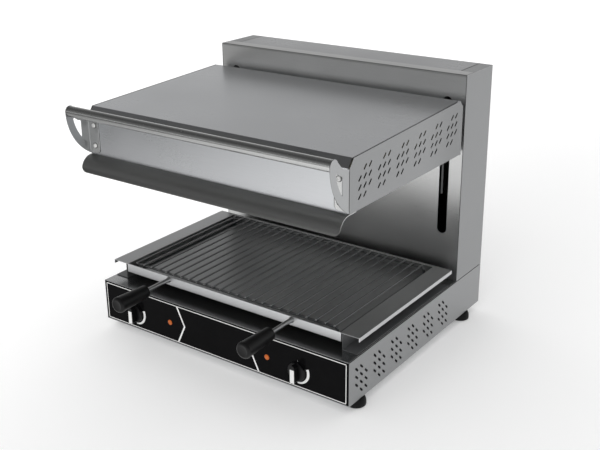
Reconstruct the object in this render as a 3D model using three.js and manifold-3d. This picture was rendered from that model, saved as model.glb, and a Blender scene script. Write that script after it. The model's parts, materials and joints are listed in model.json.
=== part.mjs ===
// Countertop salamander grill: a low heated cabinet, a rear column and a hood that
// rises and falls on two guide rods above a removable drip tray and wire rack.
// Millimetres, +Z up, +Y to the back. The origin is the centre of the footprint.
import * as THREE from 'three';
import Module from 'manifold-3d';
import { mergeVertices } from 'three/addons/utils/BufferGeometryUtils.js';

const wasm = await Module();
wasm.setup();

// Sizes shared by the whole grill
const bodyWidth = 600;
const bodyDepth = 511.5;
const sheet = 1.5;
const seam = 0.3;
const overrun = 3;
const weld = 0.6;

// Facets of round forms, from thin wires to the knobs
const wireSides = 6;
const runnerSides = 8;
const rodSides = 12;
const tubeSides = 16;
const wideSides = 20;
const knobSides = 24;
const cornerSteps = 6;
const slimCornerSteps = 4;
const elementFacets = 3;

// Base cabinet
const baseHeight = 88;
const fasciaThickness = 2;
const wiringHoleWidth = 70;
const wiringHoleDepth = 30;

// Rubber feet
const footHeight = 19;
const footRadius = 19;
const footTopRadius = 13;
const footBevel = 3;
const footSideInset = 13;
const footFrontInset = 43;
const footRearInset = 60;
const footStudRadius = 3;
const footStudLength = 9;

// Vents of the base and of the hood
const ventPitch = 15.7;
const ventClusterPitch = 61;
const ventColumns = 3;
const ventRows = 4;
const ventLength = 11.8;
const ventWidth = 3.8;
const ventLean = 45;
const baseVentFront = 24;
const baseVentLow = 17;
const hoodVentFront = 31.5;
const hoodVentRear = 18;
const hoodVentLow = 22;

// Control panel
const knobLeftInset = 86;
const knobRightInset = 110;
const knobHeight = 36;
const lampInset = 179.5;
const lampHeight = 42;
const lampLensRadius = 5.4;
const lampBodyRadius = 4;
const lampLensRise = 1.8;
const lampDome = [[1 / 2, 0.85], [0.9, 1 / 3]];
const lampBodyLength = 24;
const regulatorWidth = 42;
const regulatorDepth = 34;
const shaftRadius = 3;
const shaftHoleRadius = 5;
const shaftReach = 14;
const knobRadius = 18.5;
const knobSkirtTopRadius = 17;
const knobSkirtDepth = 6;
const knobGripDepth = 11.5;
const knobGripWidth = 11;
const knobGripLength = 37;
const knobRidgeSteps = 5;

// Terminal block and cable gland
const terminalWidth = 72;
const terminalDepth = 26;
const terminalHeight = 24;
const terminalWayCount = 6;
const terminalSlotDepth = 9;
const terminalInset = 150;
const glandInset = 88;
const glandHeight = 34;
const glandBodyRadius = 8;
const glandFlangeRadius = 13;
const glandBoreRadius = 4.8;
const glandFlangeLength = 9;
const glandNutLength = 6;

// Column
const columnDepth = 111.5;
const columnTop = 514;
const columnSlotInset = 39;
const columnSlotWidth = 20.5;
const columnSlotRise = 98;
const columnSlotDrop = 40;
const columnFrontLip = 30;
const columnSideLip = 27;
const rearVentWidth = 6;
const rearVentLength = 46;
const rearVentPitch = 22;
const rearVentCount = 8;
const rearVentTop = 60;

// Guide rods, brackets and lift
const guideRodRadius = 6;
const guideRodInset = 95;
const guideRodBack = 52;
const bracketInset = 60;
const bracketRearGap = 10;
const bracketThickness = 3;
const bossRadius = 11;
const bossHeight = 12;
const bushWidth = 36;
const bushDepth = 34;
const bushHeight = 60;
const beamDepth = 24;
const beamHeight = 40;
const beamWall = 2;
const beamRise = 68;
const armThickness = 4;
const armSlotClearance = 2.25;
const armDrop = 94;
const armRise = 118;
const armDepth = 26;
const armFrontGap = 3;
const tongueLowRise = 23;
const tongueHighRise = 80;
const armFootWidth = 28;
const armFootThickness = 3;
const strutInset = 178;
const strutBack = 72;
const strutCylinderRadius = 9;
const strutCylinderRise = 208;
const strutCylinderFloor = 3;
const strutRodRadius = 4;
const strutRodOverlap = 30;
const strutBoreClearance = 0.5;
const lugWidth = 30;
const lugThickness = 4;
const lugOverhang = 12;

// Hood
const hoodDrop = 152;
const hoodFrontReach = 5.5;
const hoodColumnGap = 11.5;
const hoodFrontHeight = 78;
const hoodChamferDepth = 12.5;
const hoodChamferHeight = 15;
const hoodRearHeight = 107.5;
const hoodRearChamfer = 12.5;
const hoodRearLip = 14;
const reflectorSideInset = 33;
const reflectorFrontInset = 30;
const reflectorRearInset = 28;
const reflectorHeight = 38;
const padHeight = 40;

// Heating elements
const elementRadius = 4;
const elementHeight = 19;
const elementPassCount = 4;
const elementInner = 40;
const elementSideGap = 47;
const elementEndInset = 22;
const elementTail = 14;
const elementStep = 22;
const elementHoleRadius = 5;
const supportWidth = 14;
const supportThickness = 2.5;
const supportShares = [0.25, 0.75];

// Front lip under the hood
const lipRadius = 28;
const lipFlange = 22;
const lipDrop = 2;
const lipSteps = 7;
const lipCornerRadius = 12;

// Handle of the hood
const barRadius = 10.5;
const barWall = 1.5;
const barReach = 60;
const barHeight = 94;
const earSweepRadius = 105.5;
const earBandWidth = 15;
const earHoleBack = 25;
const earHoleTopFront = 80;
const earHoleTopRear = 70;
const earHoleCorner = 3;
const earNotchReach = 28.6;
const earNotchHeight = 86.8;
const earTopReach = 10;
const earFlangeWidth = 27.5;
const earFlangeLow = 4;
const earFlangeHigh = 74;
const earFlangeCorner = 8;
const earCapStart = Math.PI / 8;
const earSteps = 7;

// Drip tray and its rails
const trayFront = 31;
const trayRearGap = 29;
const trayFlangeWidth = 38;
const trayRise = 34;
const trayDepth = 18;
const traySheet = 1.2;
const trayHem = 8;
const trayRearLip = 6;
const railClearance = 2.5;
const railFootInset = 4;

// Handles of the tray
const trayHandleLeftInset = 153;
const trayHandleRightInset = 145;
const trayHandleDrop = 6;
const trayRodRadius = 4.5;
const gripRearGap = 65.5;
const gripLength = 76.5;
const gripRearRadius = 12.7;
const gripFrontRadius = 15.7;
const gripRound = 5;
const gripBoreDepth = 60;

// Wire rack
const wireRadius = 1.9;
const wirePitch = 20.2;
const wireSideGap = 10;
const wireFrontGap = 7;
const wireRearGap = 7;
const wireRise = 3;
const crossRadius = 2.5;
const crossOverhang = 7;
const crossInset = 6.5;

// Places worked out from the sizes above
const halfWidth = bodyWidth / 2;
const innerHalf = halfWidth - sheet - seam;
const columnFront = bodyDepth - columnDepth;
const columnInner = columnFront + sheet;
const deckTop = baseHeight;
const knobLeftOffset = halfWidth - knobLeftInset;
const knobRightOffset = halfWidth - knobRightInset;
const lampOffset = halfWidth - lampInset;
const terminalOffset = halfWidth - terminalInset;
const glandOffset = halfWidth - glandInset;
const columnSlotOffset = halfWidth - columnSlotInset;
const columnSlotLow = deckTop + columnSlotRise;
const columnSlotHigh = columnTop - columnSlotDrop;
const guideRodOffset = halfWidth - guideRodInset;
const strutOffset = halfWidth - strutInset;
const trayHandleLeftOffset = halfWidth - trayHandleLeftInset;
const trayHandleRightOffset = halfWidth - trayHandleRightInset;
const armOffset = columnSlotOffset - columnSlotWidth / 2 + armSlotClearance;
const hoodBottom = columnTop - hoodDrop;
const beamLow = hoodBottom + beamRise;
const strutCylinderHigh = deckTop + strutCylinderRise;
const hoodFront = -hoodFrontReach;
const hoodRear = columnFront - hoodColumnGap;
const hoodTopRear = hoodBottom + hoodRearHeight;
const barY = -barReach + barRadius;
const barZ = hoodBottom + barHeight;
const trayRear = columnFront - trayRearGap;
const trayHalfWidth = halfWidth - trayFlangeWidth;
const trayRim = deckTop + trayRise;
const trayFloor = trayRim - trayDepth;
const trayHandleHeight = trayRim - trayHandleDrop;
const rodY = columnFront + guideRodBack;
const strutY = columnFront + strutBack;
const gripReach = gripRearGap + gripLength - trayFront;
const rearReach = bodyDepth + seam + glandFlangeLength;

// Solids and booleans
function solidOf(geometry) {
  const bare = geometry.clone();
  bare.deleteAttribute('normal');
  bare.deleteAttribute('uv');
  const merged = mergeVertices(bare);
  return new wasm.Manifold(new wasm.Mesh({
    numProp: 3,
    vertProperties: merged.attributes.position.array,
    triVerts: Uint32Array.from(merged.index.array),
  }));
}

function geometryOf(solid) {
  const mesh = solid.getMesh();
  const geometry = new THREE.BufferGeometry();
  geometry.setAttribute('position', new THREE.BufferAttribute(mesh.vertProperties, 3));
  geometry.setIndex(new THREE.BufferAttribute(mesh.triVerts, 1));
  geometry.computeVertexNormals();
  return geometry;
}

function join(...geometries) {
  const solids = geometries.map(solidOf);
  return geometryOf(solids.reduce((sum, solid) => sum.add(solid)));
}

function cut(geometry, ...cutters) {
  const solids = cutters.map(solidOf);
  return geometryOf(solids.reduce((rest, solid) => rest.subtract(solid), solidOf(geometry)));
}

// Basic forms, given by their limits in the cabinet's own frame
function box(x0, x1, y0, y1, z0, z1) {
  const geometry = new THREE.BoxGeometry(x1 - x0, y1 - y0, z1 - z0);
  return geometry.translate((x0 + x1) / 2, (y0 + y1) / 2, (z0 + z1) / 2);
}

function rodAlongX(radius, x0, x1, y, z, sides = tubeSides) {
  const geometry = new THREE.CylinderGeometry(radius, radius, x1 - x0, sides);
  return geometry.rotateZ(Math.PI / 2).translate((x0 + x1) / 2, y, z);
}

function rodAlongY(radius, x, y0, y1, z, sides = rodSides) {
  const geometry = new THREE.CylinderGeometry(radius, radius, y1 - y0, sides);
  return geometry.translate(x, (y0 + y1) / 2, z);
}

function rodAlongZ(radius, x, y, z0, z1, sides = rodSides) {
  const geometry = new THREE.CylinderGeometry(radius, radius, z1 - z0, sides);
  return geometry.rotateX(Math.PI / 2).translate(x, y, (z0 + z1) / 2);
}

// A flat shape drawn in (y, z) and given a thickness along X
function plateAlongX(shape, x0, x1, curveSegments = rodSides) {
  const depth = x1 - x0;
  const geometry = new THREE.ExtrudeGeometry(shape, { depth, bevelEnabled: false, curveSegments });
  const turn = new THREE.Matrix4().makeBasis(
    new THREE.Vector3(0, 1, 0), new THREE.Vector3(0, 0, 1), new THREE.Vector3(1, 0, 0));
  return geometry.applyMatrix4(turn).translate(x0, 0, 0);
}

// A flat shape drawn in (x, z) and given a thickness along Y
function plateAlongY(shape, y0, y1, curveSegments = rodSides) {
  const depth = y1 - y0;
  const geometry = new THREE.ExtrudeGeometry(shape, { depth, bevelEnabled: false, curveSegments });
  return geometry.rotateX(Math.PI / 2).translate(0, y1, 0);
}

// A body turned about the Y axis from (radius, y) pairs
function turnedAlongY(profile, x, z, sides = tubeSides) {
  const points = profile.map(([radius, y]) => new THREE.Vector2(radius, y));
  return new THREE.LatheGeometry(points, sides).translate(x, 0, z);
}

function turnedAlongZ(profile, x, y, sides = tubeSides) {
  const points = profile.map(([radius, z]) => new THREE.Vector2(radius, z));
  return new THREE.LatheGeometry(points, sides).rotateX(Math.PI / 2).translate(x, y, 0);
}

function shapeOf(points) {
  return new THREE.Shape(points.map(([a, b]) => new THREE.Vector2(a, b)));
}

function pathOf(points) {
  return new THREE.Path(points.map(([a, b]) => new THREE.Vector2(a, b)));
}

// The section of a bent sheet: its outer face follows the points, its inner face
// lies one thickness to the right of the way they run
function bentSheet(points, thickness) {
  const along = [];
  for (let i = 0; i + 1 < points.length; i += 1) {
    const dy = points[i + 1][0] - points[i][0];
    const dz = points[i + 1][1] - points[i][1];
    const length = Math.hypot(dy, dz);
    along.push([dz / length, -dy / length]);
  }
  const inner = points.map(([y, z], i) => {
    const a = along[Math.max(i - 1, 0)];
    const b = along[Math.min(i, along.length - 1)];
    const scale = thickness / (1 + a[0] * b[0] + a[1] * b[1]);
    return [y + (a[0] + b[0]) * scale, z + (a[1] + b[1]) * scale];
  });
  return shapeOf([...points, ...inner.reverse()]);
}

// Scene graph
const grill = new THREE.Group();
const cabinet = new THREE.Group();
cabinet.position.set(0, (gripReach - rearReach) / 2, footHeight);
grill.add(cabinet);

const finish = {
  brushed: { color: 0x9a9c9e, roughness: 0.35, metalness: 1 },
  polished: { color: 0xb9bbbd, roughness: 0.15, metalness: 1 },
  bright: { color: 0xc8cacc, roughness: 0.2, metalness: 1 },
  black: { color: 0x121212, roughness: 0.25, metalness: 0 },
  plastic: { color: 0x161616, roughness: 0.45, metalness: 0 },
  rubber: { color: 0x141414, roughness: 0.8, metalness: 0 },
  amber: { color: 0xe66e1c, roughness: 0.3, metalness: 0 },
  sheath: { color: 0x3c3f3c, roughness: 0.55, metalness: 0.6 },
  wool: { color: 0xd8d2bc, roughness: 1, metalness: 0 },
  steel: { color: 0x8a8c8e, roughness: 0.3, metalness: 1 },
  brass: { color: 0xb89a4a, roughness: 0.4, metalness: 1 },
  cream: { color: 0xd9d3c2, roughness: 0.6, metalness: 0 },
};

function add(name, geometry, look) {
  const mesh = new THREE.Mesh(geometry, new THREE.MeshStandardMaterial({ name: look, ...finish[look] }));
  mesh.name = name;
  cabinet.add(mesh);
}

// The two sides of the grill, with the sign of X that each lies on
const sides = [['left', -1], ['right', 1]];

// Limits along X of a thing that lies between two distances from the centre plane
function span(sign, inner, outer) {
  return sign > 0 ? [inner, outer] : [-outer, -inner];
}

// Vent patterns: each cluster is a leaning block of three columns and four rows
function ventPlaces(firstColumn, lastColumn, lowRow, leansBack, rise) {
  const lastOfCluster = ventColumns - 1;
  const topRow = ventRows - 1;
  const room = lastColumn - firstColumn - lastOfCluster * ventPitch;
  const clusterCount = Math.floor(room / ventClusterPitch) + 1;
  const places = [];
  for (let cluster = 0; cluster < clusterCount; cluster += 1) {
    for (let column = 0; column < ventColumns; column += 1) {
      for (let row = 0; row < ventRows; row += 1) {
        const dropped = leansBack
          ? (column === 0 && row === topRow) || (column === lastOfCluster && row === 0)
          : (column === 0 && row === 0) || (column === lastOfCluster && row === topRow);
        if (!dropped) {
          const y = cluster * ventClusterPitch + column * ventPitch;
          places.push([firstColumn + y, lowRow + row * ventPitch + y * rise]);
        }
      }
    }
  }
  return places;
}

// A slot whose upper end lies towards the back, or towards the front with a lean below zero
function slotVent([y, z], degrees) {
  const lean = THREE.MathUtils.degToRad(degrees);
  const half = ventLength / 2;
  const wide = ventWidth / 2;
  const corners = [[half, wide], [-half, wide], [-half, -wide], [half, -wide]];
  return pathOf(corners.map(([u, v]) => [
    y + u * Math.cos(lean) - v * Math.sin(lean),
    z + u * Math.sin(lean) + v * Math.cos(lean)]));
}

// Base cabinet
function addBase() {
  const footPlaces = [
    ['front', footFrontInset],
    ['rear', bodyDepth - footRearInset]];
  const studHoles = [];
  for (const [sideName, sign] of sides) {
    const x = sign * (halfWidth - footSideInset);
    for (const [endName, y] of footPlaces) {
      add(`foot_${endName}_${sideName}`, turnedAlongZ([
        [0, -footHeight],
        [footRadius - footBevel, -footHeight],
        [footRadius, footBevel - footHeight],
        [footRadius, -footHeight / 2],
        [footTopRadius, -seam],
        [footStudRadius, -seam],
        [footStudRadius, footStudLength],
        [0, footStudLength]], x, y, wideSides), 'rubber');
      studHoles.push(rodAlongZ(footStudRadius + seam, x, y, -overrun, sheet + overrun, wideSides));
    }
  }
  const rearInner = bodyDepth - sheet - seam;
  add('base_bottom_plate', cut(box(-innerHalf, innerHalf, 0, rearInner, 0, sheet), ...studHoles), 'brushed');

  const wiringY = columnInner + columnDepth / 2;
  add('deck_plate', cut(
    box(-innerHalf, innerHalf, 0, rearInner, deckTop - sheet, deckTop),
    box(-wiringHoleWidth / 2, wiringHoleWidth / 2, wiringY - wiringHoleDepth / 2,
      wiringY + wiringHoleDepth / 2, deckTop - sheet - overrun, deckTop + overrun)), 'brushed');

  for (const [sideName, sign] of sides) {
    const outline = shapeOf([[0, 0], [bodyDepth, 0], [bodyDepth, baseHeight], [0, baseHeight]]);
    const places = ventPlaces(baseVentFront, columnFront - baseVentFront, baseVentLow, false, 0);
    outline.holes = places.map((place) => slotVent(place, -ventLean));
    const [x0, x1] = span(sign, halfWidth - sheet, halfWidth);
    add(`base_side_${sideName}`, plateAlongX(outline, x0, x1), 'brushed');
  }
}

// Control panel with its regulators, knobs and pilot lamps
function addControls() {
  const low = sheet + seam;
  const high = deckTop - sheet - seam;
  const frameFront = fasciaThickness + seam;
  const frameRear = frameFront + sheet;
  const knobPlaces = [['left', -knobLeftOffset], ['right', knobRightOffset]];
  const lampPlaces = [['left', -lampOffset], ['right', lampOffset]];
  const bores = [];
  for (const [, x] of knobPlaces) {
    bores.push(rodAlongY(shaftHoleRadius, x, -overrun, frameRear + overrun, knobHeight));
  }
  for (const [, x] of lampPlaces) {
    bores.push(rodAlongY(lampBodyRadius + seam, x, -overrun, frameRear + overrun, lampHeight));
  }
  const fascia = box(-innerHalf, innerHalf, 0, fasciaThickness, low, high);
  const frame = box(-innerHalf, innerHalf, frameFront, frameRear, low, high);
  add('control_panel_fascia', cut(fascia, ...bores), 'black');
  add('control_panel_frame', cut(frame, ...bores), 'brushed');

  for (const [sideName, x] of lampPlaces) {
    add(`pilot_lamp_${sideName}`, turnedAlongY([
      [0, -seam - lampLensRise],
      ...lampDome.map(([out, up]) => [lampLensRadius * out, -seam - lampLensRise * up]),
      [lampLensRadius, -seam],
      [lampBodyRadius, -seam],
      [lampBodyRadius, lampBodyLength],
      [0, lampBodyLength]], x, lampHeight, rodSides), 'amber');
  }

  for (const [sideName, x] of knobPlaces) {
    const bodyFront = frameRear + seam;
    add(`regulator_${sideName}`, join(
      box(x - regulatorWidth / 2, x + regulatorWidth / 2, bodyFront, bodyFront + regulatorDepth,
        knobHeight - regulatorWidth / 2 + seam, knobHeight + regulatorWidth / 2),
      rodAlongY(shaftRadius, x, -shaftReach, bodyFront + weld, knobHeight)), 'cream');

    const skirtFront = -seam - knobSkirtDepth;
    const gripFront = skirtFront - knobGripDepth;
    const skirt = turnedAlongY([
      [0, skirtFront],
      [knobSkirtTopRadius, skirtFront],
      [knobRadius, skirtFront + knobRadius - knobSkirtTopRadius],
      [knobRadius, -seam],
      [0, -seam]], x, knobHeight, knobSides);
    const end = (knobGripLength - knobGripWidth) / 2;
    const outline = new THREE.Shape();
    outline.absarc(0, end, knobGripWidth / 2, 0, Math.PI);
    outline.absarc(0, -end, knobGripWidth / 2, Math.PI, 2 * Math.PI);
    const ridge = plateAlongY(outline, gripFront, skirtFront + weld, knobRidgeSteps)
      .translate(x, 0, knobHeight);
    const bore = rodAlongY(shaftRadius + seam, x, -shaftReach - seam, overrun, knobHeight);
    add(`knob_${sideName}`, cut(join(skirt, ridge), bore), 'plastic');
  }
}

// Electrical inlet at the back of the base
function addInlet() {
  const low = sheet + seam;
  const high = low + terminalHeight;
  const slotWidth = terminalWidth / (2 * terminalWayCount + 1);
  const x0 = -terminalOffset - terminalWidth / 2;
  const y0 = bodyDepth - sheet - columnDepth / 2;
  const ways = [];
  for (let way = 0; way < terminalWayCount; way += 1) {
    const x = x0 + (2 * way + 1) * slotWidth;
    ways.push(box(x, x + slotWidth, y0 - overrun, y0 + terminalDepth + overrun,
      high - terminalSlotDepth, high + overrun));
  }
  const block = box(x0, x0 + terminalWidth, y0, y0 + terminalDepth, low, high);
  add('terminal_block', cut(block, ...ways), 'cream');

  const wallFront = bodyDepth - sheet - seam;
  const wallRear = bodyDepth + seam;
  add('cable_gland', turnedAlongY([
    [glandBoreRadius, wallFront - glandNutLength],
    [glandFlangeRadius, wallFront - glandNutLength],
    [glandFlangeRadius, wallFront],
    [glandBodyRadius, wallFront],
    [glandBodyRadius, wallRear],
    [glandFlangeRadius, wallRear],
    [glandFlangeRadius - glandFlangeLength / 3, rearReach],
    [glandBoreRadius, rearReach],
    [glandBoreRadius, wallFront - glandNutLength]], -glandOffset, glandHeight, tubeSides), 'plastic');
}

// Column shell
function addColumn() {
  const slots = [];
  const half = columnSlotWidth / 2;
  for (const [, sign] of sides) {
    const outline = new THREE.Shape();
    outline.absarc(sign * columnSlotOffset, columnSlotHigh - half, half, 0, Math.PI);
    outline.absarc(sign * columnSlotOffset, columnSlotLow + half, half, Math.PI, 2 * Math.PI);
    slots.push(plateAlongY(outline, columnFront - overrun, columnInner + overrun, cornerSteps));
  }
  const lipRear = columnFront + columnFrontLip;
  const frontSection = bentSheet([
    [columnFront, deckTop + seam],
    [columnFront, columnTop],
    [lipRear, columnTop]], sheet);
  add('column_front_panel', cut(plateAlongX(frontSection, -innerHalf, innerHalf), ...slots), 'brushed');

  for (const [sideName, sign] of sides) {
    const [x0, x1] = span(sign, halfWidth - sheet, halfWidth);
    const [lip0, lip1] = span(sign, halfWidth - columnSideLip, halfWidth);
    add(`column_side_${sideName}`, join(
      box(x0, x1, columnFront, bodyDepth, baseHeight + seam, columnTop),
      box(lip0, lip1, lipRear + seam, bodyDepth - sheet - seam, columnTop - sheet, columnTop)), 'brushed');
  }
  const capHalf = halfWidth - columnSideLip - seam;
  add('column_top_cap', box(-capHalf, capHalf, lipRear + seam, bodyDepth - sheet - seam,
    columnTop - sheet, columnTop), 'brushed');

  const cover = shapeOf([[-innerHalf, 0], [innerHalf, 0], [innerHalf, columnTop], [-innerHalf, columnTop]]);
  const firstVent = -rearVentPitch * (rearVentCount - 1) / 2;
  for (const [, sign] of sides) {
    for (let vent = 0; vent < rearVentCount; vent += 1) {
      const x = sign * innerHalf / 2 + firstVent + vent * rearVentPitch;
      const top = columnTop - rearVentTop;
      const low = top - rearVentLength;
      const wide = rearVentWidth / 2;
      cover.holes.push(pathOf([
        [x, low], [x + wide, low + wide], [x + wide, top - wide],
        [x, top], [x - wide, top - wide], [x - wide, low + wide]]));
    }
  }
  const glandHole = rodAlongY(glandBodyRadius + seam, -glandOffset, bodyDepth - sheet - overrun,
    bodyDepth + overrun, glandHeight, tubeSides);
  add('rear_cover', cut(plateAlongY(cover, bodyDepth - sheet, bodyDepth), glandHole), 'brushed');
}

// Guide rods, their brackets and the gas strut cylinders that stand in the column
function addGuides() {
  const plateFront = rodY - bossRadius - bracketThickness;
  const plateRear = bodyDepth - sheet - bracketRearGap;
  const lowPlateTop = deckTop + seam + bracketThickness;
  const highPlateTop = columnTop - sheet - seam;
  const highPlateLow = highPlateTop - bracketThickness;
  const halfBracket = halfWidth - bracketInset;
  const bossSocket = guideRodRadius + seam;
  const lowBosses = [];
  const highBosses = [];
  const lowSockets = [];
  const highSockets = [];
  for (const [, sign] of sides) {
    const x = sign * guideRodOffset;
    lowBosses.push(rodAlongZ(bossRadius, x, rodY, lowPlateTop - weld, lowPlateTop + bossHeight));
    highBosses.push(rodAlongZ(bossRadius, x, rodY, highPlateLow - bossHeight, highPlateLow + weld));
    lowSockets.push(rodAlongZ(bossSocket, x, rodY, lowPlateTop, lowPlateTop + bossHeight + overrun));
    highSockets.push(rodAlongZ(bossSocket, x, rodY, highPlateLow - bossHeight - overrun, highPlateLow));
  }
  const lowPlate = box(-halfBracket, halfBracket, plateFront, plateRear, deckTop + seam, lowPlateTop);
  const highPlate = box(-halfBracket, halfBracket, plateFront, plateRear, highPlateLow, highPlateTop);
  add('guide_bracket_bottom', cut(join(lowPlate, ...lowBosses), ...lowSockets), 'steel');
  add('guide_bracket_top', cut(join(highPlate, ...highBosses), ...highSockets), 'steel');

  for (const [sideName, sign] of sides) {
    add(`guide_rod_${sideName}`, rodAlongZ(guideRodRadius, sign * guideRodOffset, rodY,
      lowPlateTop + seam, highPlateLow - seam), 'bright');
    const bore = strutRodRadius + strutBoreClearance;
    const foot = lowPlateTop + seam;
    add(`gas_strut_cylinder_${sideName}`, turnedAlongZ([
      [0, foot],
      [strutCylinderRadius, foot],
      [strutCylinderRadius, strutCylinderHigh],
      [bore, strutCylinderHigh],
      [bore, foot + strutCylinderFloor],
      [0, foot + strutCylinderFloor]], sign * strutOffset, strutY, tubeSides), 'plastic');
  }
}

// Carriage that slides on the guide rods and carries the hood
function addCarriage() {
  const beamFront = columnInner + armFrontGap;
  const beamRear = beamFront + beamDepth;
  const beamHigh = beamLow + beamHeight;
  const beamHalf = armOffset - seam;
  const section = shapeOf([
    [beamFront, beamLow], [beamRear, beamLow], [beamRear, beamHigh], [beamFront, beamHigh],
    [beamFront, beamHigh - beamWall], [beamRear - beamWall, beamHigh - beamWall],
    [beamRear - beamWall, beamLow + beamWall], [beamFront, beamLow + beamWall]]);
  const lugs = sides.map(([, sign]) => box(
    sign * strutOffset - lugWidth / 2, sign * strutOffset + lugWidth / 2,
    beamRear - weld, strutY + lugOverhang, beamHigh - lugThickness, beamHigh));
  add('carriage_beam', join(plateAlongX(section, -beamHalf, beamHalf), ...lugs), 'steel');

  for (const [sideName, sign] of sides) {
    const x = sign * guideRodOffset;
    const bushFront = beamRear + seam;
    const bushLow = beamLow + (beamHeight - bushHeight) / 2;
    const bushHigh = bushLow + bushHeight;
    add(`guide_bush_${sideName}`, cut(
      box(x - bushWidth / 2, x + bushWidth / 2, bushFront, bushFront + bushDepth, bushLow, bushHigh),
      rodAlongZ(guideRodRadius + seam, x, rodY, bushLow - overrun, bushHigh + overrun)), 'brass');

    const [x0, x1] = span(sign, armOffset, armOffset + armThickness);
    const [foot0, foot1] = span(sign, armOffset, armOffset + armFootWidth);
    const tongueLow = hoodBottom + tongueLowRise;
    const tongueHigh = hoodBottom + tongueHighRise;
    const footFront = hoodRear + seam;
    const armFront = columnInner + armFrontGap;
    add(`lift_arm_${sideName}`, join(
      box(x0, x1, armFront, armFront + armDepth, hoodBottom - armDrop, hoodBottom + armRise),
      box(x0, x1, footFront, armFront + weld, tongueLow, tongueHigh),
      box(foot0, foot1, footFront, footFront + armFootThickness, tongueLow, tongueHigh)), 'steel');

    add(`gas_strut_rod_${sideName}`, rodAlongZ(strutRodRadius, sign * strutOffset, strutY,
      strutCylinderHigh - strutRodOverlap, beamHigh - lugThickness - seam), 'bright');
  }
}

// Outer shell of the hood
function addHoodShell() {
  const frontTop = hoodBottom + hoodFrontHeight;
  const corners = [
    [hoodFront, hoodBottom],
    [hoodFront, frontTop],
    [hoodFront + hoodChamferDepth, frontTop + hoodChamferHeight],
    [hoodRear - hoodRearChamfer, hoodTopRear],
    [hoodRear, hoodTopRear - hoodRearChamfer]];
  const lipLow = hoodTopRear - hoodRearChamfer - hoodRearLip;
  const shell = bentSheet([...corners, [hoodRear, lipLow]], sheet);
  add('hood_top_shell', plateAlongX(shell, -innerHalf, innerHalf), 'brushed');
  add('hood_rear_panel', box(-innerHalf, innerHalf, hoodRear - sheet, hoodRear,
    hoodBottom, lipLow - seam), 'brushed');

  const topRun = hoodRear - hoodRearChamfer - hoodFront - hoodChamferDepth;
  const topRise = hoodTopRear - frontTop - hoodChamferHeight;
  for (const [sideName, sign] of sides) {
    const outline = shapeOf([...corners, [hoodRear, hoodBottom]]);
    const places = ventPlaces(hoodFront + hoodVentFront, hoodRear - hoodVentRear,
      hoodBottom + hoodVentLow, true, topRise / topRun);
    outline.holes = places.map((place) => slotVent(place, ventLean));
    const [x0, x1] = span(sign, halfWidth - sheet, halfWidth);
    add(`hood_side_${sideName}`, plateAlongX(outline, x0, x1), 'brushed');
  }
}

// Reflector pan, insulation and heating elements
function addHeating() {
  const rimHalf = innerHalf;
  const rimFront = hoodFront + sheet + seam;
  const rimRear = hoodRear - sheet - seam;
  const panHalf = halfWidth - reflectorSideInset;
  const panFront = hoodFront + reflectorFrontInset;
  const panRear = hoodRear - reflectorRearInset;
  const panTop = hoodBottom + reflectorHeight;
  const coilZ = hoodBottom + elementHeight;

  const elementPitch = (panHalf - elementSideGap - elementInner) / (elementPassCount - 1);
  const passes = [];
  for (let pass = 0; pass < elementPassCount; pass += 1) {
    passes.push(elementInner + pass * elementPitch);
  }
  const tails = [passes[0], passes[passes.length - 1]];
  const tailHoles = sides.flatMap(([, sign]) => tails.map((x) =>
    rodAlongY(elementHoleRadius, sign * x, panRear - sheet - overrun, panRear + overrun, coilZ)));
  const pan = cut(join(
    box(-rimHalf, rimHalf, rimFront, rimRear, hoodBottom, hoodBottom + sheet),
    box(-panHalf, panHalf, panFront, panRear, hoodBottom, panTop)),
  box(sheet - panHalf, panHalf - sheet, panFront + sheet, panRear - sheet,
    hoodBottom - overrun, panTop - sheet),
  ...tailHoles);
  add('heat_reflector', pan, 'polished');

  add('insulation_pad', box(-panHalf, panHalf, panFront, panRear,
    panTop + seam, panTop + seam + padHeight), 'wool');

  const turnRadius = elementPitch / 2;
  const frontTurn = panFront + sheet + elementEndInset + turnRadius;
  const rearTurn = panRear - sheet - elementEndInset - turnRadius;
  const section = new THREE.Shape();
  section.absarc(0, 0, elementRadius, 0, 2 * Math.PI);
  for (const [sideName, sign] of sides) {
    const path = new SerpentineCurve(passes.map((x) => sign * x), frontTurn, rearTurn,
      panRear + elementTail, coilZ, turnRadius);
    const steps = Math.round(path.total / elementStep);
    const geometry = new THREE.ExtrudeGeometry(section,
      { steps, curveSegments: elementFacets, bevelEnabled: false, extrudePath: path });
    add(`heating_element_${sideName}`, geometry, 'sheath');
  }

  const supportHigh = coilZ - elementRadius - seam;
  const supportRun = panRear - panFront;
  supportShares.forEach((share, index) => {
    const y = panFront + share * supportRun;
    add(`element_support_${index + 1}`, box(sheet + seam - panHalf, panHalf - sheet - seam,
      y - supportWidth / 2, y + supportWidth / 2, supportHigh - supportThickness, supportHigh), 'steel');
  });
}

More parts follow.
